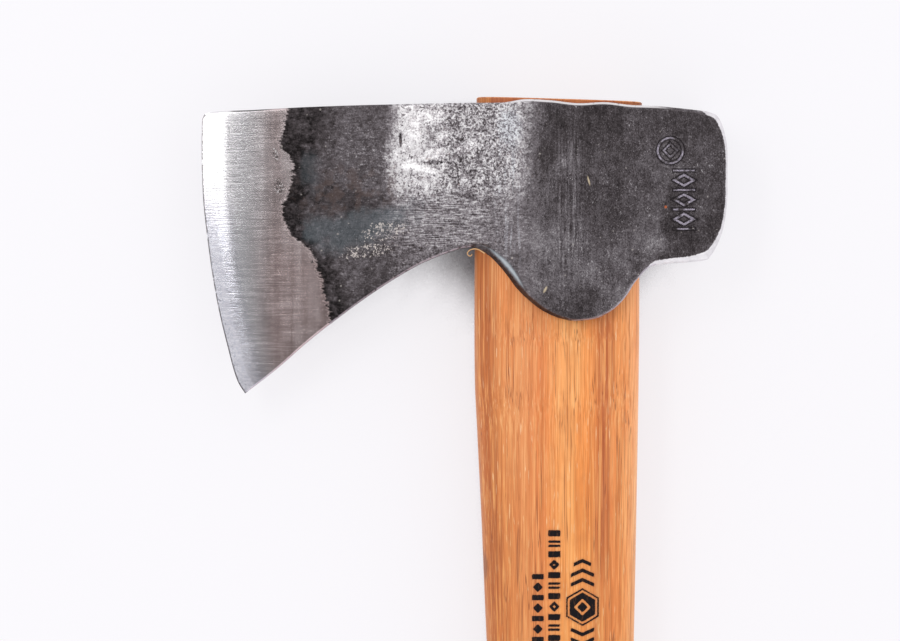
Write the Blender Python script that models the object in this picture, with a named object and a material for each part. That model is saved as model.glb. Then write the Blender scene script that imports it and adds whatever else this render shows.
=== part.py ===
"""Carving hatchet: forged head, hickory handle, wooden wedge and three-legged staple.

The hatchet lies on its cheek, so +Z is square to the flat of the blade. +Y runs up
the handle to the head and +X from the cutting edge to the poll. Everything is first
laid out in millimetres about the eye (x = 0 at the middle of the eye, y = 0 at the
top of the head, z = 0 in the plane of the blade) and then hung on one empty, which
puts the world origin at the bottom centre of the whole object's box.
"""

import math

import bmesh
import bpy

MM = 0.001

# ---------------------------------------------------------------- driving dimensions, mm
EDGE_X = -93.9  # furthest point of the cutting edge
POLL_X = 44.7  # flat end of the poll; the head is 138.6 long
CHEEK_HALF = 13.2  # half the thickness over the cheeks, the thickest place
EDGE_HALF = 0.15  # half the flat that is left on the cutting edge
NECK_X = -21.6  # where the blade meets the eye
BACK_X = 25.0  # where the eye meets the poll
EYE_TOP_Y, EYE_BOTTOM_Y = 4.0, -37.0
EYE_FRONT, EYE_BACK_TOP, EYE_BACK_BOTTOM = -21.3, 22.9, 22.1
EYE_HALF_TOP, EYE_HALF_BOTTOM = 10.0, 9.25  # half the width of the eye
EYE_POWER = 3.4  # squareness of the eye's rounded ends
LUG_END_Y = -57.2  # the eye's slot runs on between the lugs to here and past it
FIT = 0.3  # gap between neighbouring pieces
HANDLE_END_Y = -343.2  # end of the knob
KNOB_ROUND = 6.0  # rounding round the end of the knob
HANG_HOLE_R = 4.0
HANG_HOLE = (-4.0, -322.0)
KERF_TOP, KERF_BOTTOM, KERF_DEPTH = 2.2, 0.7, 44.0  # half widths of the saw kerf
WEDGE_FRONT, WEDGE_BACK = -19.6, 21.2
WEDGE_DEPTH = 40.0
STAPLE_X = 0.6
STAPLE_LEGS = (-5.7, 0.0, 5.7)
STAPLE_LEG_LENGTH = 11.0
CROWN_TOP, CROWN_BOTTOM = 1.1, -0.1
RING_POINTS = 40

# ------------------------------------------------- outline of the head, (x, y) in mm
TOP_LINE = [
    (-93.2, -2.5), (-92.2, -1.95), (-80.0, -1.3), (-66.0, -0.6), (-50.0, -0.1),
    (-35.0, 0.15), (-21.6, 0.25), (-15.0, 0.25), (-8.0, 1.1), (-2.0, 0.8),
    (6.0, 0.0), (12.0, 0.3), (20.0, -0.5), (25.0, -0.65), (33.0, -1.35), (39.0, -2.0),
]
CUTTING_EDGE = [
    (-93.2, -2.5), (-93.8, -4.0), (EDGE_X, -12.0), (-93.6, -23.0), (-92.3, -36.0),
    (-90.0, -51.0), (-87.0, -64.0), (-84.3, -73.2), (-82.4, -76.3),
]
BEARD = [
    (-82.4, -76.3), (-74.2, -70.0), (-66.3, -63.1), (-58.4, -56.8), (-50.5, -51.0),
    (-42.6, -45.8), (-34.7, -41.4), (-28.0, -38.7), (-24.2, -37.4), (NECK_X, -36.6),
]
LUG = [
    (NECK_X, -36.6), (-18.9, -38.9), (-14.2, -44.2), (-9.6, -49.8), (-6.9, -52.5),
    (-3.8, -54.7), (0.8, -56.3), (4.7, -56.8), (9.4, -56.0), (13.4, -54.2),
    (16.3, -52.0), (18.5, -49.6), (20.1, -47.3), (21.9, -45.1), (23.3, -43.6),
    (BACK_X, -42.6), (30.2, -41.9), (35.3, -41.5), (39.5, -41.0),
]
POLL = [
    (39.0, -2.0), (41.6, -2.9), (43.0, -4.8), (43.9, -7.6), (44.5, -10.6),
    (POLL_X, -13.0), (POLL_X, -23.0), (44.4, -28.0), (43.8, -32.0), (42.6, -35.8),
    (41.2, -38.7), (39.5, -41.0),
]
# half thickness of the head along its length, (x, half) in mm
SECTION = [
    (EDGE_X, EDGE_HALF), (-88.2, 1.3), (-80.0, 1.95), (-67.0, 2.8), (-54.0, 3.7),
    (-41.0, 4.9), (-30.0, 6.8), (-20.0, 9.6), (-13.0, 12.0), (-7.0, CHEEK_HALF),
    (18.0, CHEEK_HALF), (30.0, 12.8), (38.0, 12.2), (POLL_X, 11.6),
]

# ------------------------------------------------- handle, by distance along it in mm
FRONT = [
    (3.0, -21.0), (-37.2, -21.0), (-38.6, -21.8), (-58.0, -21.9), (-72.0, -21.8),
    (-86.0, -21.2), (-110.0, -20.0), (-141.0, -18.7), (-172.0, -16.9), (-205.0, -15.2),
    (-240.0, -14.2), (-270.0, -15.4), (-298.0, -19.2), (-318.0, -23.4), (-332.0, -25.2),
    (-344.0, -25.0),
]
BACK = [
    (3.0, 22.5), (-37.2, 21.8), (-58.0, 21.3), (-100.0, 20.8), (-141.0, 20.0),
    (-172.0, 19.2), (-205.0, 18.3), (-240.0, 17.5), (-270.0, 17.1), (-298.0, 17.6),
    (-318.0, 18.6), (-332.0, 19.2), (-344.0, 19.0),
]
HALF_THICK = [
    (3.0, 9.65), (-37.2, 8.95), (-57.8, 8.95), (-64.0, 9.7), (-80.0, 11.2),
    (-100.0, 11.8), (-150.0, 11.6), (-205.0, 10.9), (-250.0, 10.8), (-290.0, 11.7),
    (-320.0, 13.0), (-344.0, 13.0),
]
SQUARENESS = [
    (3.0, EYE_POWER), (-57.8, EYE_POWER), (-90.0, 2.7), (-150.0, 2.35), (-344.0, 2.35),
]


# ---------------------------------------------------------------- curves
def through(points, at):
    """A smooth curve through points sorted by their first value, with no overshoot."""
    pts = sorted(points)
    if at <= pts[0][0]:
        return pts[0][1]
    if at >= pts[-1][0]:
        return pts[-1][1]
    n = len(pts)
    step = [pts[i + 1][0] - pts[i][0] for i in range(n - 1)]
    rise = [(pts[i + 1][1] - pts[i][1]) / step[i] for i in range(n - 1)]
    slope = [rise[0]]
    for i in range(1, n - 1):
        a, b = rise[i - 1], rise[i]
        if a * b <= 0:
            slope.append(0.0)
        else:
            w1, w2 = 2 * step[i] + step[i - 1], step[i] + 2 * step[i - 1]
            slope.append((w1 + w2) / (w1 / a + w2 / b))
    slope.append(rise[-1])
    i = max(k for k in range(n - 1) if pts[k][0] <= at)
    h = step[i]
    t = (at - pts[i][0]) / h
    return (
        (1 + 2 * t) * (1 - t) ** 2 * pts[i][1]
        + t * (1 - t) ** 2 * h * slope[i]
        + t * t * (3 - 2 * t) * pts[i + 1][1]
        + t * t * (t - 1) * h * slope[i + 1]
    )


def along(points, t):
    """The point at fraction t of the length of a smooth curve through points."""
    lengths = [0.0]
    for a, b in zip(points, points[1:]):
        lengths.append(lengths[-1] + math.dist(a, b))
    s = max(0.0, min(1.0, t)) * lengths[-1]
    return (
        through([(l, p[0]) for l, p in zip(lengths, points)], s),
        through([(l, p[1]) for l, p in zip(lengths, points)], s),
    )


def patch(left, right, top, bottom, u, v):
    """A point inside four joined boundary curves, each a function of 0 to 1."""
    l, r, t, b = left(v), right(v), top(u), bottom(u)
    c00, c01, c10, c11 = top(0), bottom(0), top(1), bottom(1)
    return tuple(
        (1 - u) * l[k]
        + u * r[k]
        + (1 - v) * t[k]
        + v * b[k]
        - (1 - u) * (1 - v) * c00[k]
        - (1 - u) * v * c01[k]
        - u * (1 - v) * c10[k]
        - u * v * c11[k]
        for k in (0, 1)
    )


# ---------------------------------------------------------------- meshes
def add_object(name, verts, faces, colour, metallic, roughness):
    mesh = bpy.data.meshes.new(name)
    mesh.from_pydata([(x * MM, y * MM, z * MM) for x, y, z in verts], [], faces)
    bm = bmesh.new()
    bm.from_mesh(mesh)
    bmesh.ops.recalc_face_normals(bm, faces=bm.faces)
    if bm.calc_volume(signed=True) < 0:
        bmesh.ops.reverse_faces(bm, faces=bm.faces)
    bmesh.ops.triangulate(bm, faces=bm.faces)
    bm.to_mesh(mesh)
    bm.free()
    obj = bpy.data.objects.new(name, mesh)
    bpy.context.scene.collection.objects.link(obj)
    obj.parent = hatchet
    if colour:
        mat = bpy.data.materials.new(name + "_finish")
        mat.use_nodes = True
        shader = mat.node_tree.nodes["Principled BSDF"]
        shader.inputs["Base Color"].default_value = (*colour, 1)
        shader.inputs["Metallic"].default_value = metallic
        shader.inputs["Roughness"].default_value = roughness
        mesh.materials.append(mat)
    return obj


def cutter(name, verts, faces):
    obj = add_object(name, verts, faces, None, 0, 0)
    obj.hide_render = True
    obj.display_type = "WIRE"
    return obj


def cut(obj, tool, operation="DIFFERENCE"):
    mod = obj.modifiers.new(tool.name, "BOOLEAN")
    mod.operation = operation
    mod.solver = "EXACT"
    mod.object = tool


def shade(obj, degrees=32):
    obj.data.shade_smooth()
    obj.data.set_sharp_from_angle(angle=math.radians(degrees))


def rings_solid(rings):
    """Vertices and faces of a closed solid lofted through rings of equal length."""
    n = len(rings[0])
    verts = [p for ring in rings for p in ring]
    faces = [
        (i * n + j, i * n + (j + 1) % n, (i + 1) * n + (j + 1) % n, (i + 1) * n + j)
        for i in range(len(rings) - 1)
        for j in range(n)
    ]
    faces.append(tuple(range(n)))
    faces.append(tuple(range((len(rings) - 1) * n, len(rings) * n)))
    return verts, faces


def rounded_ring(front, back, half, power, y):
    """A rounded slot-shaped ring round the y axis; y may be a function of x."""
    ring = []
    for k in range(RING_POINTS):
        t = 2 * math.pi * (k + 0.5) / RING_POINTS
        c, s = math.cos(t), math.sin(t)
        x = (front + back) / 2 + (back - front) / 2 * math.copysign(abs(c) ** (2 / power), c)
        z = half * math.copysign(abs(s) ** (2 / power), s)
        ring.append((x, y(x) if callable(y) else y, z))
    return ring


def tapered_bar(x, z, y_top, y_bottom, top, bottom):
    """An upright bar with half sizes top and bottom, each (along x, along z)."""
    rings = []
    for y, (a, b) in ((y_top, top), (y_bottom, bottom)):
        rings.append([(x - a, y, z - b), (x + a, y, z - b), (x + a, y, z + b), (x - a, y, z + b)])
    return rings_solid(rings)


# ---------------------------------------------------------------- the head
def head_columns():
    """The head's outline as columns of (x, y, half thickness), from edge to poll."""
    edge = lambda v: along(CUTTING_EDGE, v)
    poll = lambda v: along(POLL, v)
    neck_top, neck_low = through(TOP_LINE, NECK_X), through(LUG, NECK_X)
    back_top, back_low = through(TOP_LINE, BACK_X), through(LUG, BACK_X)
    line = lambda x, hi, lo: (lambda v: (x, hi + (lo - hi) * v))

    def top(a, b):
        return lambda u: (a + (b - a) * u, through(TOP_LINE, a + (b - a) * u))

    def low(points, a, b):
        return lambda u: (a + (b - a) * u, through(points, a + (b - a) * u))

    blade = (edge, line(NECK_X, neck_top, neck_low), top(-93.2, NECK_X), low(BEARD, -82.4, NECK_X))
    eye = (
        line(NECK_X, neck_top, neck_low), line(BACK_X, back_top, back_low),
        top(NECK_X, BACK_X), low(LUG, NECK_X, BACK_X),
    )
    rear = (line(BACK_X, back_top, back_low), poll, top(BACK_X, 39.0), low(LUG, BACK_X, 39.5))

    stations = []
    for u in (0, 0.02, 0.05, 0.08, 0.13, 0.2, 0.28, 0.36, 0.44, 0.52, 0.6, 0.68, 0.76, 0.84, 0.92):
        stations.append((blade, u, 0.5 if u < 0.1 else 0.7, EDGE_X + (NECK_X - EDGE_X) * u))
    for k in range(19):
        x = NECK_X + (BACK_X - NECK_X) * k / 19
        stations.append((eye, k / 19, 1.1, x))
    for u in (0, 0.3, 0.55, 0.78, 0.925, 1.0):
        stations.append((rear, u, 1.3, None))

    columns = []
    for curves, u, chamfer, thick_x in stations:
        a, b = patch(*curves, u, 0), patch(*curves, u, 1)
        inset = chamfer / math.dist(a, b)
        steps = [0, inset] + [inset + (1 - 2 * inset) * k / 12 for k in range(1, 12)] + [1 - inset, 1]
        column = []
        for v in steps:
            x, y = patch(*curves, u, v)
            half = through(SECTION, x if thick_x is None else thick_x)
            if v in (0, 1) or (curves is rear and u == 1.0):
                half -= min(chamfer * 0.9, 0.35 * half)
            column.append((x, y, half))
        columns.append(column)
    return columns


def build_head():
    columns = head_columns()
    m, n = len(columns), len(columns[0])
    verts = [(x, y, h) for col in columns for x, y, h in col]
    verts += [(x, y, -h) for col in columns for x, y, h in col]
    up = lambda i, j: i * n + j
    down = lambda i, j: m * n + i * n + j
    faces = []
    for i in range(m - 1):
        for j in range(n - 1):
            faces.append((up(i, j), up(i, j + 1), up(i + 1, j + 1), up(i + 1, j)))
            faces.append((down(i, j), down(i + 1, j), down(i + 1, j + 1), down(i, j + 1)))
        faces.append((up(i, 0), up(i + 1, 0), down(i + 1, 0), down(i, 0)))
        faces.append((up(i, n - 1), down(i, n - 1), down(i + 1, n - 1), up(i + 1, n - 1)))
    for j in range(n - 1):
        faces.append((up(0, j), down(0, j), down(0, j + 1), up(0, j + 1)))
        faces.append((up(m - 1, j), up(m - 1, j + 1), down(m - 1, j + 1), down(m - 1, j)))
    head = add_object("head", verts, faces, (0.16, 0.155, 0.16), 1.0, 0.45)

    rings = [
        rounded_ring(EYE_FRONT, EYE_BACK_TOP, EYE_HALF_TOP, EYE_POWER, EYE_TOP_Y),
        rounded_ring(EYE_FRONT, EYE_BACK_BOTTOM, EYE_HALF_BOTTOM, EYE_POWER, EYE_BOTTOM_Y),
        rounded_ring(EYE_FRONT - 1.0, EYE_BACK_BOTTOM, EYE_HALF_BOTTOM, EYE_POWER, EYE_BOTTOM_Y - 0.6),
        rounded_ring(EYE_FRONT - 1.0, EYE_BACK_BOTTOM, EYE_HALF_BOTTOM, EYE_POWER, LUG_END_Y - 3.0),
    ]
    cut(head, cutter("eye_cutter", *rings_solid(rings)))
    shade(head)
    return head


# ---------------------------------------------------------------- the handle
def tongue_top(x):
    """The sawn top of the tongue slopes down a little towards the poll."""
    return 1.84 - 0.03 * (x + 17.5)


def build_handle():
    stations = [2.0, -18.0, -37.0, -37.2, -38.6, -44.0, -51.0, -57.8, -61.0, -65.0, -70.0, -75.0, -81.0]
    stations += [-90.0, -100.0, -112.0, -125.0, -140.0, -155.0, -172.0, -188.0, -205.0, -222.0, -240.0]
    stations += [-255.0, -270.0, -284.0, -296.0, -307.0, -318.0, -328.0]
    rings = []
    for y in stations:
        front, back = through(FRONT, y), through(BACK, y)
        half, power = through(HALF_THICK, y), through(SQUARENESS, y)
        rings.append(rounded_ring(front, back, half, power, tongue_top if y > 0 else y))
    start = HANDLE_END_Y + KNOB_ROUND
    for degrees in (0, 22, 44, 64, 80):
        inset = KNOB_ROUND * (1 - math.cos(math.radians(degrees)))
        y = start - KNOB_ROUND * math.sin(math.radians(degrees))
        front, back = through(FRONT, y) + inset, through(BACK, y) - inset
        tilt = 0.06  # the knob is cut off a little obliquely, lower at the front
        rings.append(
            rounded_ring(front, back, through(HALF_THICK, y) - inset, 2.35,
                         lambda x, y=y: y + tilt * (x - 3.0))
        )
    handle = add_object("handle", *rings_solid(rings), (0.52, 0.22, 0.08), 0.0, 0.45)

    kerf = [
        [(-30, 6, -KERF_TOP), (30, 6, -KERF_TOP), (30, 6, KERF_TOP), (-30, 6, KERF_TOP)],
        [(-30, -KERF_DEPTH + 2, -KERF_BOTTOM), (30, -KERF_DEPTH + 2, -KERF_BOTTOM),
         (30, -KERF_DEPTH + 2, KERF_BOTTOM), (-30, -KERF_DEPTH + 2, KERF_BOTTOM)],
    ]
    kerf_cutter = cutter("kerf_cutter", *rings_solid(kerf))
    cut(handle, kerf_cutter)
    for k in (0, 2):
        pocket = cutter(
            "leg_pocket_%d" % k,
            *tapered_bar(STAPLE_X, STAPLE_LEGS[k], CROWN_BOTTOM + 0.2, CROWN_BOTTOM - STAPLE_LEG_LENGTH - 0.6,
                         (0.8 + FIT, 1.1 + FIT), (0.3 + FIT, 0.35 + FIT)),
        )
        cut(handle, pocket)
    groove = cutter(
        "crown_groove",
        *tapered_bar(STAPLE_X, 0.0, 6.0, CROWN_BOTTOM - FIT, (0.8 + FIT, 7.2 + FIT), (0.8 + FIT, 7.2 + FIT)),
    )
    cut(handle, groove)

    ring = []
    for z in (-20, 20):
        ring.append([
            (HANG_HOLE[0] + HANG_HOLE_R * math.cos(2 * math.pi * k / 28),
             HANG_HOLE[1] + HANG_HOLE_R * math.sin(2 * math.pi * k / 28), z)
            for k in range(28)
        ])
    cut(handle, cutter("hang_hole_cutter", *rings_solid(ring)))
    shade(handle)
    return handle, groove


# ---------------------------------------------------------------- the wedge
def build_wedge(groove):
    """Sits in the kerf with FIT all round and fills the middle of the eye."""
    depth = 6.0 + KERF_DEPTH - 2
    half_at = lambda y: KERF_TOP + (KERF_BOTTOM - KERF_TOP) * (6.0 - y) / depth - FIT
    proud = 0.15
    rings = []
    for y, a, b in ((None, WEDGE_FRONT, WEDGE_BACK), (-WEDGE_DEPTH * 0.5, WEDGE_FRONT, WEDGE_BACK - 0.4),
                    (-WEDGE_DEPTH, WEDGE_FRONT + 2.0, WEDGE_BACK - 2.4)):
        ring = []
        for x, side in ((a, -1), (b, -1), (b, 1), (a, 1)):
            level = tongue_top(x) + proud if y is None else y
            ring.append((x, level, side * half_at(level)))
        rings.append(ring)
    wedge = add_object("wedge", *rings_solid(rings), (0.62, 0.42, 0.22), 0.0, 0.55)
    cut(wedge, groove)
    pocket = cutter(
        "leg_pocket_1",
        *tapered_bar(STAPLE_X, STAPLE_LEGS[1], CROWN_BOTTOM + 0.2, CROWN_BOTTOM - STAPLE_LEG_LENGTH - 0.6,
                     (0.8 + FIT, 0.7 + FIT), (0.3 + FIT, 0.25 + FIT)),
    )
    cut(wedge, pocket)
    return wedge


# ---------------------------------------------------------------- the staple
def build_staple():
    """A flat crown across the wedge with three pointed legs, all one strip of steel."""
    outline = [(-7.2, CROWN_TOP), (7.2, CROWN_TOP), (7.2, CROWN_BOTTOM)]
    halves = (1.1, 0.7, 1.1)
    tips = (0.35, 0.25, 0.35)
    low = CROWN_BOTTOM - STAPLE_LEG_LENGTH
    for k in (2, 1, 0):
        z = STAPLE_LEGS[k]
        outline += [(z + halves[k], CROWN_BOTTOM), (z + tips[k], low), (z - tips[k], low), (z - halves[k], CROWN_BOTTOM)]
    outline += [(-7.2, CROWN_BOTTOM)]
    crown_half, tip_half = 0.8, 0.3
    rings = []
    for side in (-1, 1):
        rings.append([
            (STAPLE_X + side * (crown_half if y > low else tip_half), y, z) for z, y in outline
        ])
    return add_object("staple", *rings_solid(rings), (0.35, 0.34, 0.34), 1.0, 0.4)


for old in list(bpy.data.objects):
    bpy.data.objects.remove(old)

hatchet = bpy.data.objects.new("hatchet", None)
bpy.context.scene.collection.objects.link(hatchet)

head = build_head()
handle, groove = build_handle()
wedge = build_wedge(groove)
staple = build_staple()

solids = (head, handle, wedge, staple)
corners = [v.co for o in solids for v in o.data.vertices]
low = [min(c[k] for c in corners) for k in range(3)]
high = [max(c[k] for c in corners) for k in range(3)]
hatchet.location = (-(low[0] + high[0]) / 2, -(low[1] + high[1]) / 2, -low[2])
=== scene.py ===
import math

import bmesh
import bpy
import numpy as np
from mathutils import Matrix, Vector, kdtree


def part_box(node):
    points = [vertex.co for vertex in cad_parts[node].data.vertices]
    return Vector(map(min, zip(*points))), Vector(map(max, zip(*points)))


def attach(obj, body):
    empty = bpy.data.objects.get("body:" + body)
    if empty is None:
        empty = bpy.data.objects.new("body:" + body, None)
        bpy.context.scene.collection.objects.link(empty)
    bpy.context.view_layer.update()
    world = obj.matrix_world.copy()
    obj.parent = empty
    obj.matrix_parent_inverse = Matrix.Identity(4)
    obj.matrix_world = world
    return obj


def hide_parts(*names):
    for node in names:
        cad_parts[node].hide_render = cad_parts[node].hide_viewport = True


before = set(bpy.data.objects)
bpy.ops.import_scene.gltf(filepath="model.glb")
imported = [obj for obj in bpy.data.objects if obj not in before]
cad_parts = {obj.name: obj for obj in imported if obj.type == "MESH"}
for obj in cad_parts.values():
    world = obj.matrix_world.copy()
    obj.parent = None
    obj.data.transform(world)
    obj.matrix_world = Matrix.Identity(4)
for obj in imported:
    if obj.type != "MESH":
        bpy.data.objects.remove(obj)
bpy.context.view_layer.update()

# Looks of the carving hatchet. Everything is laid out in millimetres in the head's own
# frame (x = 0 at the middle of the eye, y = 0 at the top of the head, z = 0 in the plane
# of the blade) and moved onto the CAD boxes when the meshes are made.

SCENE = bpy.context.scene

# ------------------------------------------------------------------ the head's outline
EDGE_X, POLL_X, NECK_X, BACK_X = -93.9, 44.7, -21.6, 25.0
CHEEK_HALF = 13.2
TOP_LINE = [
    (-93.2, -2.5), (-92.2, -1.95), (-80.0, -1.3), (-66.0, -0.6), (-50.0, -0.1),
    (-35.0, 0.15), (-21.6, 0.25), (-15.0, 0.25), (-8.0, 1.1), (-2.0, 0.8),
    (6.0, 0.0), (12.0, 0.3), (20.0, -0.5), (25.0, -0.65), (33.0, -1.35), (39.0, -2.0),
]
CUTTING_EDGE = [
    (-93.2, -2.5), (-93.8, -4.0), (EDGE_X, -12.0), (-93.6, -23.0), (-92.3, -36.0),
    (-90.0, -51.0), (-87.0, -64.0), (-84.3, -73.2), (-82.4, -76.3),
]
BEARD = [
    (-82.4, -76.3), (-74.2, -70.0), (-66.3, -63.1), (-58.4, -56.8), (-50.5, -51.0),
    (-42.6, -45.8), (-34.7, -41.4), (-28.0, -38.8), (-24.4, -37.8), (NECK_X, -37.6),
]
LUG = [
    (NECK_X, -37.6), (-19.2, -38.9), (-14.2, -44.2), (-9.6, -49.6), (-6.9, -52.1),
    (-3.8, -54.4), (0.8, -56.4), (4.7, -57.1), (9.4, -56.6), (13.4, -54.9),
    (16.3, -52.6), (18.5, -49.9), (20.1, -47.3), (21.9, -45.1), (23.3, -43.6),
    (BACK_X, -42.6), (30.2, -41.9), (35.3, -41.5), (39.5, -41.0),
]
POLL = [
    (39.0, -2.0), (41.6, -2.9), (43.0, -4.8), (43.9, -7.6), (44.5, -10.6),
    (POLL_X, -13.0), (POLL_X, -23.0), (44.4, -28.0), (43.8, -32.0), (42.6, -35.8),
    (41.2, -38.7), (39.5, -41.0),
]
# half thickness by distance from the edge: bevel, hollow of the blade, swell to the cheek
SECTION = [
    (EDGE_X, 0.04), (-91.0, 0.66), (-88.6, 1.17), (-87.6, 1.32), (-86.0, 1.50), (-83.5, 1.75), (-80.0, 2.07),
    (-76.0, 2.43), (-70.0, 2.96), (-61.0, 3.65), (-50.0, 4.45), (-45.5, 4.86), (-42.0, 5.5), (-35.0, 7.0),
    (-26.0, 8.95), (-17.0, 10.9), (-11.0, 12.2), (-7.5, 12.85), (-3.0, 13.15), (18.0, 13.15),
    (30.0, 12.8), (38.0, 12.2), (POLL_X, 11.6),
]
EYE_FRONT, EYE_BACK_TOP, EYE_BACK_BOTTOM = -21.3, 22.9, 22.1
EYE_HALF_TOP, EYE_HALF_BOTTOM, EYE_POWER = 10.0, 9.25, 3.4

# the jagged line where the grinding stops and the forge scale begins, (x, y)
GRIND_LINE = [
    (-70.4, 2.0), (-70.6, 0.0), (-71.1, -2.1), (-71.8, -4.7), (-73.2, -9.7), (-72.8, -12.1),
    (-70.1, -13.4), (-69.6, -16.1), (-69.7, -18.7), (-70.5, -21.3), (-70.9, -23.4),
    (-72.4, -26.1), (-72.6, -27.9), (-72.1, -30.0), (-71.1, -32.6), (-70.0, -34.7),
    (-67.2, -36.6), (-64.8, -38.9), (-63.7, -41.6), (-62.9, -44.2), (-61.7, -46.6),
    (-61.9, -49.2), (-61.1, -51.8), (-60.3, -53.9), (-60.0, -58.0),
]

# ------------------------------------------------------------------ the handle
FRONT = [
    (3.0, -21.15), (-36.9, -21.15), (-38.3, -21.6), (-58.0, -21.7), (-72.0, -21.6),
    (-86.0, -21.0), (-110.0, -19.8), (-141.0, -18.5), (-172.0, -16.8), (-205.0, -15.2),
    (-240.0, -14.2), (-270.0, -15.4), (-298.0, -19.2), (-318.0, -23.4), (-332.0, -25.2),
    (-344.0, -25.0),
]
BACK = [
    (3.0, 22.65), (-37.2, 21.95), (-58.0, 21.9), (-100.0, 21.3), (-141.0, 20.5),
    (-172.0, 19.6), (-205.0, 18.5), (-240.0, 17.5), (-270.0, 17.1), (-298.0, 17.6),
    (-318.0, 18.6), (-332.0, 19.2), (-344.0, 19.0),
]
HALF_THICK = [
    (3.0, 9.85), (-37.2, 9.1), (-57.8, 9.1), (-64.0, 9.75), (-80.0, 11.2),
    (-100.0, 11.8), (-150.0, 11.6), (-205.0, 10.9), (-250.0, 10.8), (-290.0, 11.7),
    (-320.0, 13.0), (-344.0, 13.0),
]
SQUARENESS = [
    (3.0, EYE_POWER), (-57.8, EYE_POWER), (-90.0, 2.7), (-150.0, 2.35), (-344.0, 2.35),
]
HANDLE_END_Y, KNOB_ROUND = -343.2, 6.0
HANG_HOLE, HANG_HOLE_R = (-4.0, -322.0), 4.0
STAPLE_X = 0.6
KERF_TOP, KERF_BOTTOM, KERF_DEPTH = 2.0, 0.5, 44.0

head_lo, head_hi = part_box("head")
ORIGIN = np.array([
    head_lo.x * 1000 - EDGE_X,
    head_lo.y * 1000 + 76.3,
    (head_lo.z + head_hi.z) / 2 * 1000,
])


# ------------------------------------------------------------------ numeric helpers
def pchip(points, q):
    """A smooth curve through (x, y) points with no overshoot, at the values q."""
    p = np.array(sorted(points), float)
    x, y = p[:, 0], p[:, 1]
    h = np.diff(x)
    rise = np.diff(y) / h
    m = np.zeros(len(x))
    m[0], m[-1] = rise[0], rise[-1]
    a, b = rise[:-1], rise[1:]
    w1, w2 = 2 * h[1:] + h[:-1], h[1:] + 2 * h[:-1]
    same = a * b > 0
    m[1:-1][same] = ((w1 + w2) / (w1 / np.where(same, a, 1) + w2 / np.where(same, b, 1)))[same]
    q = np.clip(np.asarray(q, float), x[0], x[-1])
    i = np.clip(np.searchsorted(x, q, side="right") - 1, 0, len(x) - 2)
    t = (q - x[i]) / h[i]
    return (
        (1 + 2 * t) * (1 - t) ** 2 * y[i]
        + t * (1 - t) ** 2 * h[i] * m[i]
        + t * t * (3 - 2 * t) * y[i + 1]
        + t * t * (t - 1) * h[i] * m[i + 1]
    )


def along(points, t):
    """Points at fractions t of the length of a smooth curve, as an array (..., 2)."""
    p = np.array(points, float)
    s = np.concatenate([[0], np.cumsum(np.linalg.norm(np.diff(p, axis=0), axis=1))])
    q = np.clip(np.asarray(t, float), 0, 1) * s[-1]
    return np.stack([pchip(list(zip(s, p[:, 0])), q), pchip(list(zip(s, p[:, 1])), q)], -1)


def smooth(a, b, x):
    t = np.clip((x - a) / (b - a), 0, 1)
    return t * t * (3 - 2 * t)


class Noise:
    """Seeded gradient noise in two or three dimensions, about -1 to 1."""

    def __init__(self, seed):
        rng = np.random.RandomState(seed)
        self.perm = np.concatenate([rng.permutation(512)] * 3)
        g = rng.normal(size=(512, 3))
        self.grad = g / np.linalg.norm(g, axis=1, keepdims=True)

    def __call__(self, x, y, z=0.0):
        x, y, z = np.broadcast_arrays(*(np.asarray(v, float) for v in (x, y, z)))
        xi, yi, zi = (np.floor(v).astype(int) for v in (x, y, z))
        xf, yf, zf = x - xi, y - yi, z - zi
        u, v, w = (f * f * f * (f * (f * 6 - 15) + 10) for f in (xf, yf, zf))
        out = 0
        for dx in (0, 1):
            for dy in (0, 1):
                for dz in (0, 1):
                    k = self.perm[
                        (self.perm[(self.perm[(xi + dx) & 511] + yi + dy) & 511] + zi + dz) & 511
                    ]
                    g = self.grad[k]
                    dot = g[..., 0] * (xf - dx) + g[..., 1] * (yf - dy) + g[..., 2] * (zf - dz)
                    out = out + dot * (u if dx else 1 - u) * (v if dy else 1 - v) * (w if dz else 1 - w)
        return out * 1.6

    def fbm(self, x, y, z=0.0, octaves=4, gain=0.5):
        total, amp, f = 0, 1.0, 1.0
        for k in range(octaves):
            total = total + amp * self(x * f + 17.3 * k, y * f - 9.1 * k, z * f if np.ndim(z) else z)
            amp *= gain
            f *= 2.03
        return total


def mesh_object(name, verts_mm, faces):
    """A mesh in the row frame from local millimetres. faces is a list of index arrays."""
    co = (np.asarray(verts_mm, float) + ORIGIN) / 1000
    loops = np.concatenate([np.asarray(f, np.int32).ravel() for f in faces])
    sizes = np.concatenate([np.full(len(f), np.shape(f)[1], np.int32) for f in faces])
    mesh = bpy.data.meshes.new(name)
    mesh.vertices.add(len(co))
    mesh.vertices.foreach_set("co", co.astype(np.float32).ravel())
    mesh.loops.add(len(loops))
    mesh.loops.foreach_set("vertex_index", loops)
    mesh.polygons.add(len(sizes))
    mesh.polygons.foreach_set("loop_start", np.concatenate([[0], np.cumsum(sizes)[:-1]]).astype(np.int32))
    mesh.update(calc_edges=True)
    mesh.validate()
    obj = bpy.data.objects.new(name, mesh)
    SCENE.collection.objects.link(obj)
    return obj


def local(obj):
    """The object's vertices in local millimetres."""
    co = np.zeros(len(obj.data.vertices) * 3, np.float32)
    obj.data.vertices.foreach_get("co", co)
    return co.reshape(-1, 3).astype(float) * 1000 - ORIGIN


def face_out(obj):
    bm = bmesh.new()
    bm.from_mesh(obj.data)
    bmesh.ops.recalc_face_normals(bm, faces=bm.faces)
    if bm.calc_volume(signed=True) < 0:
        bmesh.ops.reverse_faces(bm, faces=bm.faces)
    bm.to_mesh(obj.data)
    bm.free()


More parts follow.
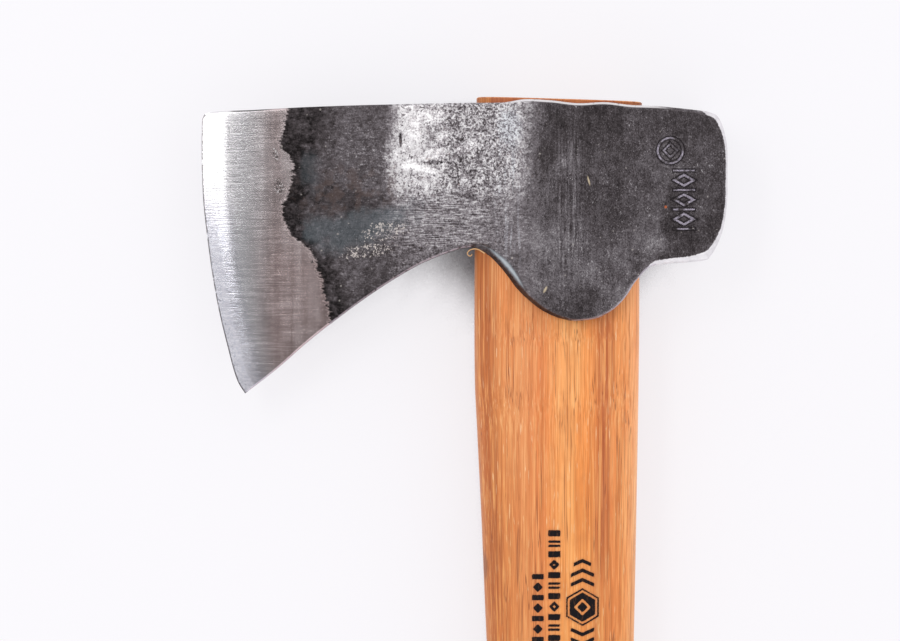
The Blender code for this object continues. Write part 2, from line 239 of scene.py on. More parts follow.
def apply_modifiers(obj):
    depsgraph = bpy.context.evaluated_depsgraph_get()
    mesh = bpy.data.meshes.new_from_object(obj.evaluated_get(depsgraph))
    old = obj.data
    obj.modifiers.clear()
    obj.data = mesh
    bpy.data.meshes.remove(old)
    mesh.name = obj.name


def cut(obj, *tools):
    for tool in tools:
        mod = obj.modifiers.new(tool.name, "BOOLEAN")
        mod.operation = "DIFFERENCE"
        mod.solver = "EXACT"
        mod.object = tool
    apply_modifiers(obj)
    for tool in tools:
        mesh = tool.data
        bpy.data.objects.remove(tool)
        bpy.data.meshes.remove(mesh)


def put_attribute(obj, name, values):
    a = obj.data.attributes.get(name) or obj.data.attributes.new(name, "FLOAT", "POINT")
    a.data.foreach_set("value", np.asarray(values, np.float32))


def shade(obj, degrees=40):
    obj.data.shade_smooth()
    obj.data.set_sharp_from_angle(angle=math.radians(degrees))


def loft(rings):
    """Vertices and faces of a closed solid through rings (m, n, 3)."""
    rings = np.asarray(rings, float)
    m, n = rings.shape[:2]
    i, j = np.meshgrid(np.arange(m - 1), np.arange(n), indexing="ij")
    quads = np.stack([i * n + j, i * n + (j + 1) % n, (i + 1) * n + (j + 1) % n, (i + 1) * n + j], -1)
    return rings.reshape(-1, 3), [
        quads.reshape(-1, 4), np.arange(n)[None, ::-1], (np.arange(n) + (m - 1) * n)[None, :]
    ]


def slot_ring(front, back, half, power, y, n=96):
    t = 2 * np.pi * (np.arange(n) + 0.5) / n
    c, s = np.cos(t), np.sin(t)
    x = (front + back) / 2 + (back - front) / 2 * np.sign(c) * np.abs(c) ** (2 / power)
    z = half * np.sign(s) * np.abs(s) ** (2 / power)
    return np.stack([x, np.full(n, float(y)), z], -1)


def box_sdf(x, y, cx, cy, hx, hy, turn=0.0):
    c, s = math.cos(turn), math.sin(turn)
    px, py = (x - cx) * c + (y - cy) * s, -(x - cx) * s + (y - cy) * c
    dx, dy = np.abs(px) - hx, np.abs(py) - hy
    return np.hypot(np.maximum(dx, 0), np.maximum(dy, 0)) + np.minimum(np.maximum(dx, dy), 0)


# ------------------------------------------------------------------ the head
def coons(L, R, T, B, u, v):
    """Points of a patch: u is (m,), v is (m, n)."""
    U = np.broadcast_to(u[:, None], v.shape)[..., None]
    V = v[..., None]
    l, r, t, b = L(v), R(v), T(u)[:, None, :], B(u)[:, None, :]
    zero, one = np.array([0.0]), np.array([1.0])
    c00, c10, c01, c11 = T(zero)[0], T(one)[0], B(zero)[0], B(one)[0]
    return (
        (1 - U) * l + U * r + (1 - V) * t + V * b
        - (1 - U) * (1 - V) * c00 - (1 - U) * V * c01 - U * (1 - V) * c10 - U * V * c11
    )


def outline_points(step=0.06):
    """The head's outline from the toe over the poll to the heel, densely."""
    xs = np.arange(-93.2, 39.0, step)
    top = np.stack([xs, pchip(TOP_LINE, xs)], -1)
    poll = along(POLL, np.arange(0, 1, step / 45))
    xs = np.arange(39.5, NECK_X, -step)
    under = np.stack([xs, pchip(LUG, xs)], -1)
    xs = np.arange(NECK_X, -82.4, -step)
    beard = np.stack([xs, pchip(BEARD, xs)], -1)
    part = np.concatenate([np.full(len(a), k) for k, a in enumerate((top, poll, under, beard))])
    return np.concatenate([top, poll, under, beard, [[-82.4, -76.3]]]), np.append(part, 3)


OUTLINE, OUTLINE_PART = outline_points()
TREE = kdtree.KDTree(len(OUTLINE))
for k, (x, y) in enumerate(OUTLINE):
    TREE.insert((x, y, 0), k)
TREE.balance()


def outline_distance(x, y):
    """Distance from the outline and the index of its nearest point."""
    idx = np.array([TREE.find((a, b, 0))[1] for a, b in zip(x, y)])
    p = np.stack([x, y], -1)
    best = np.full(len(x), 1e9)
    for a, b in ((idx - 1, idx), (idx, idx + 1)):
        a, b = np.clip(a, 0, len(OUTLINE) - 1), np.clip(b, 0, len(OUTLINE) - 1)
        s, e = OUTLINE[a], OUTLINE[b]
        d = e - s
        t = np.clip(((p - s) * d).sum(1) / np.maximum((d * d).sum(1), 1e-12), 0, 1)
        best = np.minimum(best, np.linalg.norm(p - s - d * t[:, None], axis=1))
    return best, idx


# bevels along the outline: plan width and drop of the outer and of the inner facet, mm
TOP_BEVEL = [  # x, outer width, inner width, drop at the rim, drop between the facets
    (-94, 0.12, 0.15, 0.25, 0.1), (-60, 0.2, 0.25, 0.4, 0.15), (-25, 0.25, 0.3, 0.6, 0.22),
    (-14, 0.25, 0.5, 0.9, 0.45), (22, 0.25, 0.5, 0.9, 0.45), (33, 0.2, 0.7, 1.1, 0.6),
    (39, 0.2, 0.9, 1.3, 0.8),
]
POLL_BEVEL = [  # by distance round the poll from its top corner
    (0, 0.2, 0.9, 1.3, 0.8), (3.5, 0.2, 1.0, 1.4, 0.9), (9, 0.15, 0.7, 1.0, 0.65), (16, 0.12, 0.5, 0.8, 0.5),
    (26, 0.12, 0.5, 0.8, 0.5), (34, 0.15, 0.7, 1.1, 0.75), (38.5, 0.2, 1.2, 1.6, 1.2), (43, 0.2, 2.0, 1.9, 1.6),
]
UNDER_BEVEL = [
    (-82.4, 0.1, 0.15, 0.25, 0.1), (-60, 0.18, 0.28, 0.5, 0.2), (-26, 0.25, 0.35, 0.7, 0.3),
    (-22.5, 0.45, 0.4, 1.4, 0.4), (-20.5, 0.9, 0.5, 2.5, 0.5), (-18, 1.15, 1.0, 3.2, 0.95),
    (-15, 1.2, 1.75, 3.4, 1.5), (-12.5, 1.15, 1.6, 3.3, 1.35), (-10, 1.05, 0.8, 3.0, 0.75), (-8, 0.95, 0.35, 2.6, 0.35),
    (-3, 0.75, 0.3, 2.0, 0.3), (2, 0.4, 0.35, 1.3, 0.35), (6, 0.25, 0.35, 0.9, 0.35),
    (21, 0.25, 0.4, 0.9, 0.4), (24, 0.2, 1.0, 1.4, 1.0), (34.5, 0.2, 1.25, 1.65, 1.25), (39.5, 0.2, 2.0, 1.9, 1.6),
]


def bevel_at(idx):
    """(outer width, inner width, rim drop, middle drop) at outline points."""
    x, y = OUTLINE[idx, 0], OUTLINE[idx, 1]
    part = OUTLINE_PART[idx]
    s = np.concatenate([[0], np.cumsum(np.linalg.norm(np.diff(OUTLINE, axis=0), axis=1))])
    start = s[np.argmax(OUTLINE_PART == 1)]
    key = np.where(part == 1, s[idx] - start, x)
    out = []
    for c in range(1, 5):
        v = np.zeros(len(idx))
        for table, which in ((TOP_BEVEL, part == 0), (POLL_BEVEL, part == 1), (UNDER_BEVEL, part >= 2)):
            pts = np.array([(r[0], r[c]) for r in table], float)
            v[which] = np.interp(key[which], pts[:, 0], pts[:, 1])
        out.append(v)
    return out


def bevel_drop(d, idx, half):
    """How far the bevel lowers the surface at distance d from the outline."""
    w1, w2, d0, d1 = bevel_at(idx)
    r = 0.09
    soft = lambda t: 0.5 * (t + np.sqrt(t * t + r * r)) - 0.5 * (np.sqrt(r * r + 16) - 4) * (t > 4)
    inner = d1 / np.maximum(w2, 0.05) * soft(w1 + w2 - d)
    outer = (d0 - d1) / w1 - d1 / np.maximum(w2, 0.05)
    drop = inner + np.maximum(outer, 0) * soft(w1 - d)
    drop = np.where(d > w1 + w2 + 0.8, 0, drop)
    return np.minimum(drop, 0.55 * half)


forge = Noise(11)


def head_surface(x, y, xe, side):
    """Half thickness of the head's face at (x, y); xe is the distance coordinate from the edge."""
    half = pchip(SECTION, xe)
    ground = x - np.interp(-y, [-p[1] for p in GRIND_LINE], [p[0] for p in GRIND_LINE])
    scale = smooth(-0.5, 1.5, ground)
    wave = 0.085 * forge.fbm(x / 15 + 40 * side, y / 13, octaves=2)
    wave += 0.02 * forge.fbm(x / 3.1 + 7 * side, y / 3.7 + 5, octaves=3)
    # shallow hammer facets across the swell of the cheek
    wave += 0.05 * smooth(-46, -38, x) * (1 - smooth(-12, -4, x)) * forge(x / 5.5 + 3, y / 8.5 + 9 * side)
    plane = 0.02 * forge(x / 18, y / 15 + 3 * side)
    half = half + wave * scale * (0.4 + 0.6 * smooth(4, 12, half)) + plane * (1 - scale)
    # a second, steeper honing bevel along the lower half of the edge
    s = xe - EDGE_X
    low = smooth(-22, -40, y)
    half = half + low * 0.2 * np.where(s < 3.2, s / 3.2, np.clip(1 - (s - 3.2) / 9, 0, 1)) * smooth(0, 0.6, s)
    # lip where the scale still stands over the ground steel
    half = half + 0.03 * scale * (1 - smooth(0, 12, ground)) - 0.015
    return half


def build_head():
    s_blade = np.concatenate([
        [0, 0.06, 0.15, 0.3, 0.55, 0.9, 1.3, 1.75, 2.25, 2.75], np.linspace(3.2, 71.6, 139)[:-1]
    ]) / 71.6
    u_eye = np.linspace(0, 1, 112)[:-1]
    tail = np.array([0, 0.1, 0.2, 0.32, 0.46, 0.62, 0.8, 1.0, 1.25, 1.55, 1.9, 2.3, 2.75, 3.2]) / 18.5
    u_rear = np.concatenate([np.linspace(0, 1 - 3.2 / 18.5, 56)[:-1], 1 - tail[::-1]])

    def top(a, b):
        return lambda u: np.stack([a + (b - a) * u, pchip(TOP_LINE, a + (b - a) * u)], -1)

    def low(points, a, b):
        return lambda u: np.stack([a + (b - a) * u, pchip(points, a + (b - a) * u)], -1)

    def line(x):
        hi, lo = float(pchip(TOP_LINE, x)), float(pchip(LUG, x))
        return lambda v: np.stack([np.full(v.shape, x), hi + (lo - hi) * v], -1)

    edge = lambda v: along(CUTTING_EDGE, v)
    poll = lambda v: along(POLL, v)
    zones = (
        (edge, line(NECK_X), top(-93.2, NECK_X), low(BEARD, -82.4, NECK_X), s_blade),
        (line(NECK_X), line(BACK_X), top(NECK_X, BACK_X), low(LUG, NECK_X, BACK_X), u_eye),
        (line(BACK_X), poll, top(BACK_X, 39.0), low(LUG, BACK_X, 39.5), u_rear),
    )
    near_top = np.array([0, 0.1, 0.2, 0.32, 0.46, 0.62, 0.82, 1.05, 1.35])
    near_low = np.array([0, 0.1, 0.2, 0.32, 0.46, 0.62, 0.8, 1.0, 1.25, 1.5, 1.8, 2.15, 2.55, 3.0, 3.5, 4.1])
    inside = 112
    P, XE = [], []
    for k, (L, R, T, B, u) in enumerate(zones):
        length = np.linalg.norm(T(u) - B(u), axis=1)[:, None]
        a, b = near_top[-1] / length, 1 - near_low[-1] / length
        f = np.arange(1, inside + 1)[None, :] / (inside + 1)
        v = np.concatenate([near_top[None, :] / length, a + (b - a) * f, 1 - near_low[::-1][None, :] / length], 1)
        P.append(coons(L, R, T, B, u, v))
        xe = P[-1][..., 0].copy()
        if k == 0:
            xe = np.broadcast_to(EDGE_X + (NECK_X - EDGE_X) * u[:, None], v.shape).copy()
        XE.append(xe)
    P, XE = np.concatenate(P), np.concatenate(XE)
    m, n = P.shape[:2]
    x, y, xe = P[..., 0].ravel(), P[..., 1].ravel(), XE.ravel()
    d, idx = outline_distance(x, y)
    sides = []
    for side in (0, 1):
        half = head_surface(x, y, xe, side)
        half = half - bevel_drop(d, idx, half)
        half = np.clip(half, 0.03, CHEEK_HALF)
        sides.append(half)
    up = np.stack([x, y, sides[0]], -1)
    down = np.stack([x, y, -sides[1]], -1)
    index = np.arange(m * n).reshape(m, n)
    i = index
    quads = np.stack([i[:-1, :-1], i[:-1, 1:], i[1:, 1:], i[1:, :-1]], -1).reshape(-1, 4)
    faces = [quads, quads[:, ::-1] + m * n]
    rim = np.concatenate([i[:, 0], i[-1, 1:], i[-2::-1, -1], i[0, -2:0:-1]])
    steps = 9
    ring_up, ring_down = up[rim], down[rim]
    levels = [rim]
    verts = [up, down]
    count = 2 * m * n
    wall_noise = Noise(5)
    length = np.concatenate([[0], np.cumsum(np.linalg.norm(np.diff(ring_up[:, :2], axis=0), axis=1))])
    # outward direction of the wall, for a faint swell between the two faces
    nxt, prv = np.roll(ring_up[:, :2], -1, 0), np.roll(ring_up[:, :2], 1, 0)
    tangent = nxt - prv
    outward = np.stack([-tangent[:, 1], tangent[:, 0]], -1) / np.maximum(np.linalg.norm(tangent, axis=1, keepdims=True), 1e-6)
    if (outward * (ring_up[:, :2] - ring_up[:, :2].mean(0))).sum() < 0:
        outward = -outward
    for k in range(1, steps):
        f = k / steps
        ring = ring_up * (1 - f) + ring_down * f
        swell = wall_noise.fbm(length / 7, f * 3.0, octaves=2) * 0.06 * np.minimum(ring_up[:, 2] / 6, 1)
        ring = ring.copy()
        ring[:, :2] -= outward * np.abs(swell)[:, None] * math.sin(math.pi * f)
        verts.append(ring)
        levels.append(np.arange(len(rim)) + count)
        count += len(rim)
    levels.append(rim + m * n)
    for a, b in zip(levels, levels[1:]):
        faces.append(np.stack([a, np.roll(a, -1), np.roll(b, -1), b], -1))
    head = mesh_object("forged_head", np.concatenate(verts), faces)
    face_out(head)

    rings = [
        slot_ring(EYE_FRONT, EYE_BACK_TOP, EYE_HALF_TOP, EYE_POWER, 4.0),
        slot_ring(EYE_FRONT, EYE_BACK_BOTTOM, EYE_HALF_BOTTOM, EYE_POWER, -37.0),
        slot_ring(EYE_FRONT - 1.0, EYE_BACK_BOTTOM, EYE_HALF_BOTTOM, EYE_POWER, -37.6),
        slot_ring(EYE_FRONT - 1.0, EYE_BACK_BOTTOM, EYE_HALF_BOTTOM, EYE_POWER, -60.2),
    ]
    tool = mesh_object("eye_tool", *loft(rings))
    face_out(tool)
    cut(head, tool)
    return head


def head_masks(head):
    """Smooth masks the head's material reads, as values on its points."""
    p = local(head)
    x, y, z = p[:, 0], p[:, 1], p[:, 2]
    d, idx = outline_distance(x, y)
    w1, w2, d0, d1 = bevel_at(idx)
    part = OUTLINE_PART[idx]
    line = np.interp(-y, [-q[1] for q in GRIND_LINE], [q[0] for q in GRIND_LINE])
    put_attribute(head, "grind", line - x)  # mm into the ground steel
    edge = along(CUTTING_EDGE, np.linspace(0, 1, 1500))
    tree = kdtree.KDTree(len(edge))
    for k, (a, b) in enumerate(edge):
        tree.insert((a, b, 0), k)
    tree.balance()
    from_edge = np.full(len(x), 30.0)
    blade = np.where(x < -66)[0]
    from_edge[blade] = [tree.find((x[k], y[k], 0))[2] for k in blade]
    put_attribute(head, "honed", from_edge)
    put_attribute(head, "rim", d)
    # bare facets: round the poll, the strip on the front of the lug (with a painted highlight along its middle) and the
    # poll's end
    fade = np.where(part == 1, 0.0, np.where(part == 0, smooth(40.5, 35.5, x), smooth(26.0, 21.5, x)))
    bare = np.where((part == 1) | (x > 20), w1 + w2 - d - 1.6 * fade, -1.0)
    on_lug = (part >= 2) & (x > -20.5) & (x < -8.2)
    strip = np.minimum(d - w1 * 0.92, w1 + w2 - d)
    put_attribute(head, "bare", np.clip(bare, -1, 1.5))
    put_attribute(head, "lug_strip", np.where(on_lug, np.clip(strip, -1, 1), -1.0))
    # painted shade on the rounded margin of the lug, and a thin pale painted highlight line under the beard
    lug_margin_shade = smooth(-26.0, -22.5, x) * smooth(8.0, -4.0, x) * (part >= 2)
    put_attribute(head, "lug_margin_shade", lug_margin_shade * smooth(w1 * 1.15, w1 * 0.75, d))
    lower_edge_highlight = ((part >= 2) & (x < -22.5)) | ((part >= 2) & (x > 4) & (x < 26))
    put_attribute(head, "lower_edge_highlight", np.where(lower_edge_highlight, smooth(0.42, 0.22, d), 0.0))


# ------------------------------------------------------------------ the handle
def burn_mark(x, y):
    """Distance in mm from the strokes of a plain burned mark: hexagon with a lozenge, leaves and two rows of blocks."""
    q = lambda px, py, cx, cy: np.maximum(np.abs(px - cx) * 0.5 + np.abs(py - cy) * 0.866, np.abs(px - cx))
    cx, cy = 6.6, -132.2
    hexagon = q(x, y, cx, cy)
    d = np.abs(hexagon - 4.1) - 0.22
    d = np.minimum(d, np.maximum(hexagon - 3.35, -(np.abs(box_sdf(x, y, cx, cy, 1.3, 1.3, math.pi / 4)) - 0.3)))
    for k, sy in ((0, 1), (1, -1)):
        for step, (ox, w) in enumerate(((0.0, 3.1), (0.0, 3.1), (0.0, 2.3))):
            yy = cy + sy * (7.2 + 2.5 * step)
            leaf = np.abs(y - yy + sy * 0.45 * np.abs(x - cx - ox)) - 0.5
            d = np.minimum(d, np.maximum(leaf, np.abs(x - cx - ox) - w))
    # a row of blocks and lozenges, and a shorter one beside it
    for k in range(22):
        yy = -112.8 - 2.75 * k
        if k % 4 == 3:
            block = np.abs(box_sdf(x, y, -0.8, yy, 0.9, 0.9, math.pi / 4) + 0.25) - 0.36
        elif k % 4 == 1:
            block = np.minimum(box_sdf(x, y, -0.8, yy + 0.55, 1.6, 0.32), box_sdf(x, y, -0.8, yy - 0.55, 1.6, 0.32))
        else:
            block = box_sdf(x, y, -0.8, yy, 1.6, 0.82)
        d = np.minimum(d, block)
    for k in range(16):
        yy = -124.2 - 2.75 * k
        shape = box_sdf(x, y, -5.1, yy, 0.95, 0.95, math.pi / 4) if k % 2 else box_sdf(x, y, -5.1, yy, 1.55, 0.7)
        d = np.minimum(d, shape)
    return d


def tongue_top(x):
    return 1.84 - 0.03 * (x + 17.5)


def build_handle():
    marks = (-109.0, -176.0)
    ys = [
        np.linspace(1.9, -34, 24), np.linspace(-35, -40, 14), np.linspace(-41, -58, 20), np.linspace(-59, marks[0] + 1, 52),
        np.linspace(marks[0], marks[1], 205), np.linspace(marks[1] - 1, -337.2, 150),
    ]
    ys = np.concatenate(ys)
    # ring points: fine over the side that carries the mark
    fine = np.linspace(0.5 * np.pi - 0.62, 0.5 * np.pi + 0.50, 66)
    rest = np.linspace(fine[-1], fine[0] + 2 * np.pi, 92)[1:-1]
    t = np.concatenate([fine, rest])
    c, s = np.cos(t), np.sin(t)
    grain = Noise(31)
    rings = []

    def ring(y_at, y_real, inset=0.0, tilt=0.0):
        front, back = pchip(FRONT, y_at) + inset, pchip(BACK, y_at) - inset
        half, power = pchip(HALF_THICK, y_at) - inset, pchip(SQUARENESS, y_at)
        x = (front + back) / 2 + (back - front) / 2 * np.sign(c) * np.abs(c) ** (2 / power)
        z = half * np.sign(s) * np.abs(s) ** (2 / power)
        y = np.full(len(t), float(y_real)) + tilt * (x - 3.0)
        return np.stack([x, y, z], -1)

    top = ring(1.9, 0.0)
    top[:, 1] = tongue_top(top[:, 0])
    shrink = top.copy()
    shrink[:, 0] = (shrink[:, 0] - 0.75) * 0.985 + 0.75
    shrink[:, 2] *= 0.97
    shrink[:, 1] += 0.03
    top[:, 1] -= 0.22
    rings += [shrink, top]
    for y in ys[1:]:
        r = ring(y, y)
        wobble = smooth(-58, -66, y)
        # faint flats and ripples left by the spokeshave
        ripple = 0.05 * grain(np.cos(t) * 2.1 + 5, np.sin(t) * 2.1, y / 22) + 0.018 * grain(r[:, 0] / 0.9, r[:, 2] / 0.9, y / 26)
        radial = np.stack([r[:, 0] - 0.5, np.zeros(len(t)), r[:, 2]], -1)
        radial /= np.linalg.norm(radial, axis=1, keepdims=True)
        r = r + radial * (ripple * wobble)[:, None]
        rings.append(r)
    start = HANDLE_END_Y + KNOB_ROUND
    for degrees in np.linspace(4, 84, 13):
        a = math.radians(degrees)
        y = start - KNOB_ROUND * math.sin(a)
        rings.append(ring(y, y, KNOB_ROUND * (1 - math.cos(a)), 0.06))
    last = rings[-1]
    middle = last.mean(0)
    for f in (0.9, 0.7, 0.45, 0.2):
        r = middle + (last - middle) * f
        r[:, 1] -= 0.25 * (1 - f * f)
        rings.append(r)
    rings = np.array(rings)
    handle = mesh_object("hickory_handle", *loft(rings))
    face_out(handle)
    tools = []

    def bar(name, x, z, y_top, y_low, a, b):
        ring4 = lambda y, h: [(x - h[0], y, z - h[1]), (x + h[0], y, z - h[1]), (x + h[0], y, z + h[1]), (x - h[0], y, z + h[1])]
        tool = mesh_object(name, *loft([ring4(y_top, a), ring4(y_low, b)]))
        face_out(tool)
        return tool

    tools.append(bar("kerf_tool", 0, 0, 6, -KERF_DEPTH + 2, (30, KERF_TOP), (30, KERF_BOTTOM)))
    tools.append(bar("groove_tool", STAPLE_X, 0, 6, -0.25, (0.95, 7.35), (0.95, 7.35)))
    for z in (-5.7, 5.7):
        tools.append(bar("leg_tool", STAPLE_X, z, 0.1, -11.4, (0.9, 1.2), (0.4, 0.45)))
    hole = []
    k = 2 * np.pi * np.arange(64) / 64
    for z, r in ((-20, 10.0), (-12.3, HANG_HOLE_R + 0.9), (-11.2, HANG_HOLE_R), (11.2, HANG_HOLE_R), (12.3, HANG_HOLE_R + 0.9), (20, 10.0)):
        hole.append(np.stack([HANG_HOLE[0] + r * np.cos(k), HANG_HOLE[1] + r * np.sin(k), np.full(64, float(z))], -1))
    tool = mesh_object("hole_tool", *loft(hole))
    face_out(tool)
    tools.append(tool)
    cut(handle, *tools)
    p = local(handle)
    put_attribute(handle, "burn", np.where((p[:, 2] > 0) & (p[:, 1] < -105) & (p[:, 1] > -182), burn_mark(p[:, 0], p[:, 1]), 5.0))
    return handle


def build_fibre():
    """A curl of wood pared up where the head was driven on, just under the neck."""
    path = [
        (-19.0, -39.4, 11.0), (-20.3, -38.5, 11.5), (-21.5, -38.1, 11.8), (-22.6, -38.3, 12.0), (-23.4, -38.8, 12.0),
        (-23.7, -39.5, 11.9), (-23.2, -40.1, 11.8), (-22.5, -40.0, 11.8), (-22.4, -39.5, 11.8),
    ]
    p = np.array(path)
    t = np.linspace(0, len(p) - 1, 40)
    line = np.stack([np.interp(t, range(len(p)), p[:, c]) for c in range(3)], -1)
    for _ in range(6):
        line[1:-1] = (line[:-2] + 2 * line[1:-1] + line[2:]) / 4
    rings = []
    for k, q in enumerate(line):
        d = line[min(k + 1, 39)] - line[max(k - 1, 0)]
        d /= np.linalg.norm(d)
        side = np.array([-d[1], d[0], 0]) / max(math.hypot(d[0], d[1]), 1e-6)
        w = 0.17 * (1 - 0.3 * k / 39)
        h = 0.9 * (1 - 0.55 * k / 39)
        a = 2 * np.pi * np.arange(10) / 10
        rings.append(q + side * (w * np.cos(a))[:, None] + np.array([0, 0, 1]) * (h * np.sin(a))[:, None])
    fibre = mesh_object("pared_fibre", *loft(rings))
    face_out(fibre)
    put_attribute(fibre, "burn", np.full(len(fibre.data.vertices), 5.0))
    return fibre


# ------------------------------------------------------------------ node helpers
class Graph:
    def __init__(self, name):
        self.mat = bpy.data.materials.new(name)
        self.mat.use_nodes = True
        self.tree = self.mat.node_tree
        self.tree.nodes.clear()
        self.out = self.node("ShaderNodeOutputMaterial")
        self.bsdf = self.node("ShaderNodeBsdfPrincipled")
        self.tree.links.new(self.bsdf.outputs[0], self.out.inputs[0])
        coord = self.node("ShaderNodeTexCoord")
        scale = self.node("ShaderNodeVectorMath", operation="SCALE")
        scale.inputs["Scale"].default_value = 1000.0
        self.link(coord.outputs["Object"], scale.inputs[0])
        shift = self.node("ShaderNodeVectorMath", operation="SUBTRACT")
        shift.inputs[1].default_value = tuple(ORIGIN)
        self.link(scale.outputs[0], shift.inputs[0])
        self.p = shift.outputs[0]  # local millimetres
        xyz = self.node("ShaderNodeSeparateXYZ")
        self.link(self.p, xyz.inputs[0])
        self.x, self.y, self.z = xyz.outputs

    def node(self, kind, **props):
        n = self.tree.nodes.new(kind)
        for k, v in props.items():
            setattr(n, k, v)
        return n

    def link(self, a, b):
        self.tree.links.new(a, b)

    def put(self, socket, value):
        if isinstance(value, bpy.types.NodeSocket):
            self.link(value, socket)
        elif isinstance(value, (tuple, list)) and socket.type == "RGBA":
            socket.default_value = (*value[:3], 1.0)
        else:
            socket.default_value = value

    def math(self, op, a, b=0.0, c=0.0, clamp=False):
        n = self.node("ShaderNodeMath", operation=op, use_clamp=clamp)
        for s, v in zip(n.inputs, (a, b, c)):
            self.put(s, v)
        return n.outputs[0]

    def add(self, a, b):
        return self.math("ADD", a, b)

    def mul(self, a, b):
        return self.math("MULTIPLY", a, b)

    def sub(self, a, b):
        return self.math("SUBTRACT", a, b)

    def step(self, value, a, b, low=0.0, high=1.0):
        """value from a to b gives low to high, smoothly."""
        n = self.node("ShaderNodeMapRange", interpolation_type="SMOOTHSTEP")
        for s, v in zip(n.inputs, (value, a, b, low, high)):
            self.put(s, v)
        return n.outputs[0]

    def mix(self, f, a, b):
        n = self.node("ShaderNodeMix", data_type="FLOAT")
        self.put(n.inputs[0], f)
        self.put(n.inputs[2], a)
        self.put(n.inputs[3], b)
        return n.outputs[0]

    def blend(self, f, a, b, mode="MIX"):
        n = self.node("ShaderNodeMix", data_type="RGBA", blend_type=mode)
        self.put(n.inputs[0], f)
        self.put(n.inputs[6], a)
        self.put(n.inputs[7], b)
        return n.outputs[2]

    def stretch(self, sx, sy, sz, source=None):
        n = self.node("ShaderNodeVectorMath", operation="MULTIPLY")
        self.link(source or self.p, n.inputs[0])
        n.inputs[1].default_value = (sx, sy, sz)
        return n.outputs[0]

    def noise(self, scale=1.0, detail=2.0, rough=0.5, distortion=0.0, vec=None, offset=0.0):
        n = self.node("ShaderNodeTexNoise", noise_dimensions="4D")
        self.link(vec or self.p, n.inputs["Vector"])
        n.inputs["W"].default_value = offset
        n.inputs["Scale"].default_value = scale
        n.inputs["Detail"].default_value = detail
        n.inputs["Roughness"].default_value = rough
        n.inputs["Distortion"].default_value = distortion
        return n.outputs[0]

    def ramp(self, f, stops, mode="LINEAR"):
        n = self.node("ShaderNodeValToRGB")
        n.color_ramp.interpolation = mode
        e = n.color_ramp.elements
        while len(e) < len(stops):
            e.new(0.5)
        for item, (pos, col) in zip(e, stops):
            item.position = pos
            item.color = (*col, 1.0)
        self.link(f, n.inputs[0])
        return n.outputs[0]

    def attr(self, name):
        n = self.node("ShaderNodeAttribute", attribute_type="GEOMETRY", attribute_name=name)
        return n.outputs["Fac"]

    def bump(self, height, distance, strength=1.0, normal=None):
        n = self.node("ShaderNodeBump")
        n.inputs["Strength"].default_value = strength
        n.inputs["Distance"].default_value = distance
        self.link(height, n.inputs["Height"])
        if normal is not None:
            self.link(normal, n.inputs["Normal"])
        return n.outputs[0]


def srgb(r, g, b):
    return tuple((c / 255 / 12.92) if c <= 10 else ((c / 255 + 0.055) / 1.055) ** 2.4 for c in (r, g, b))


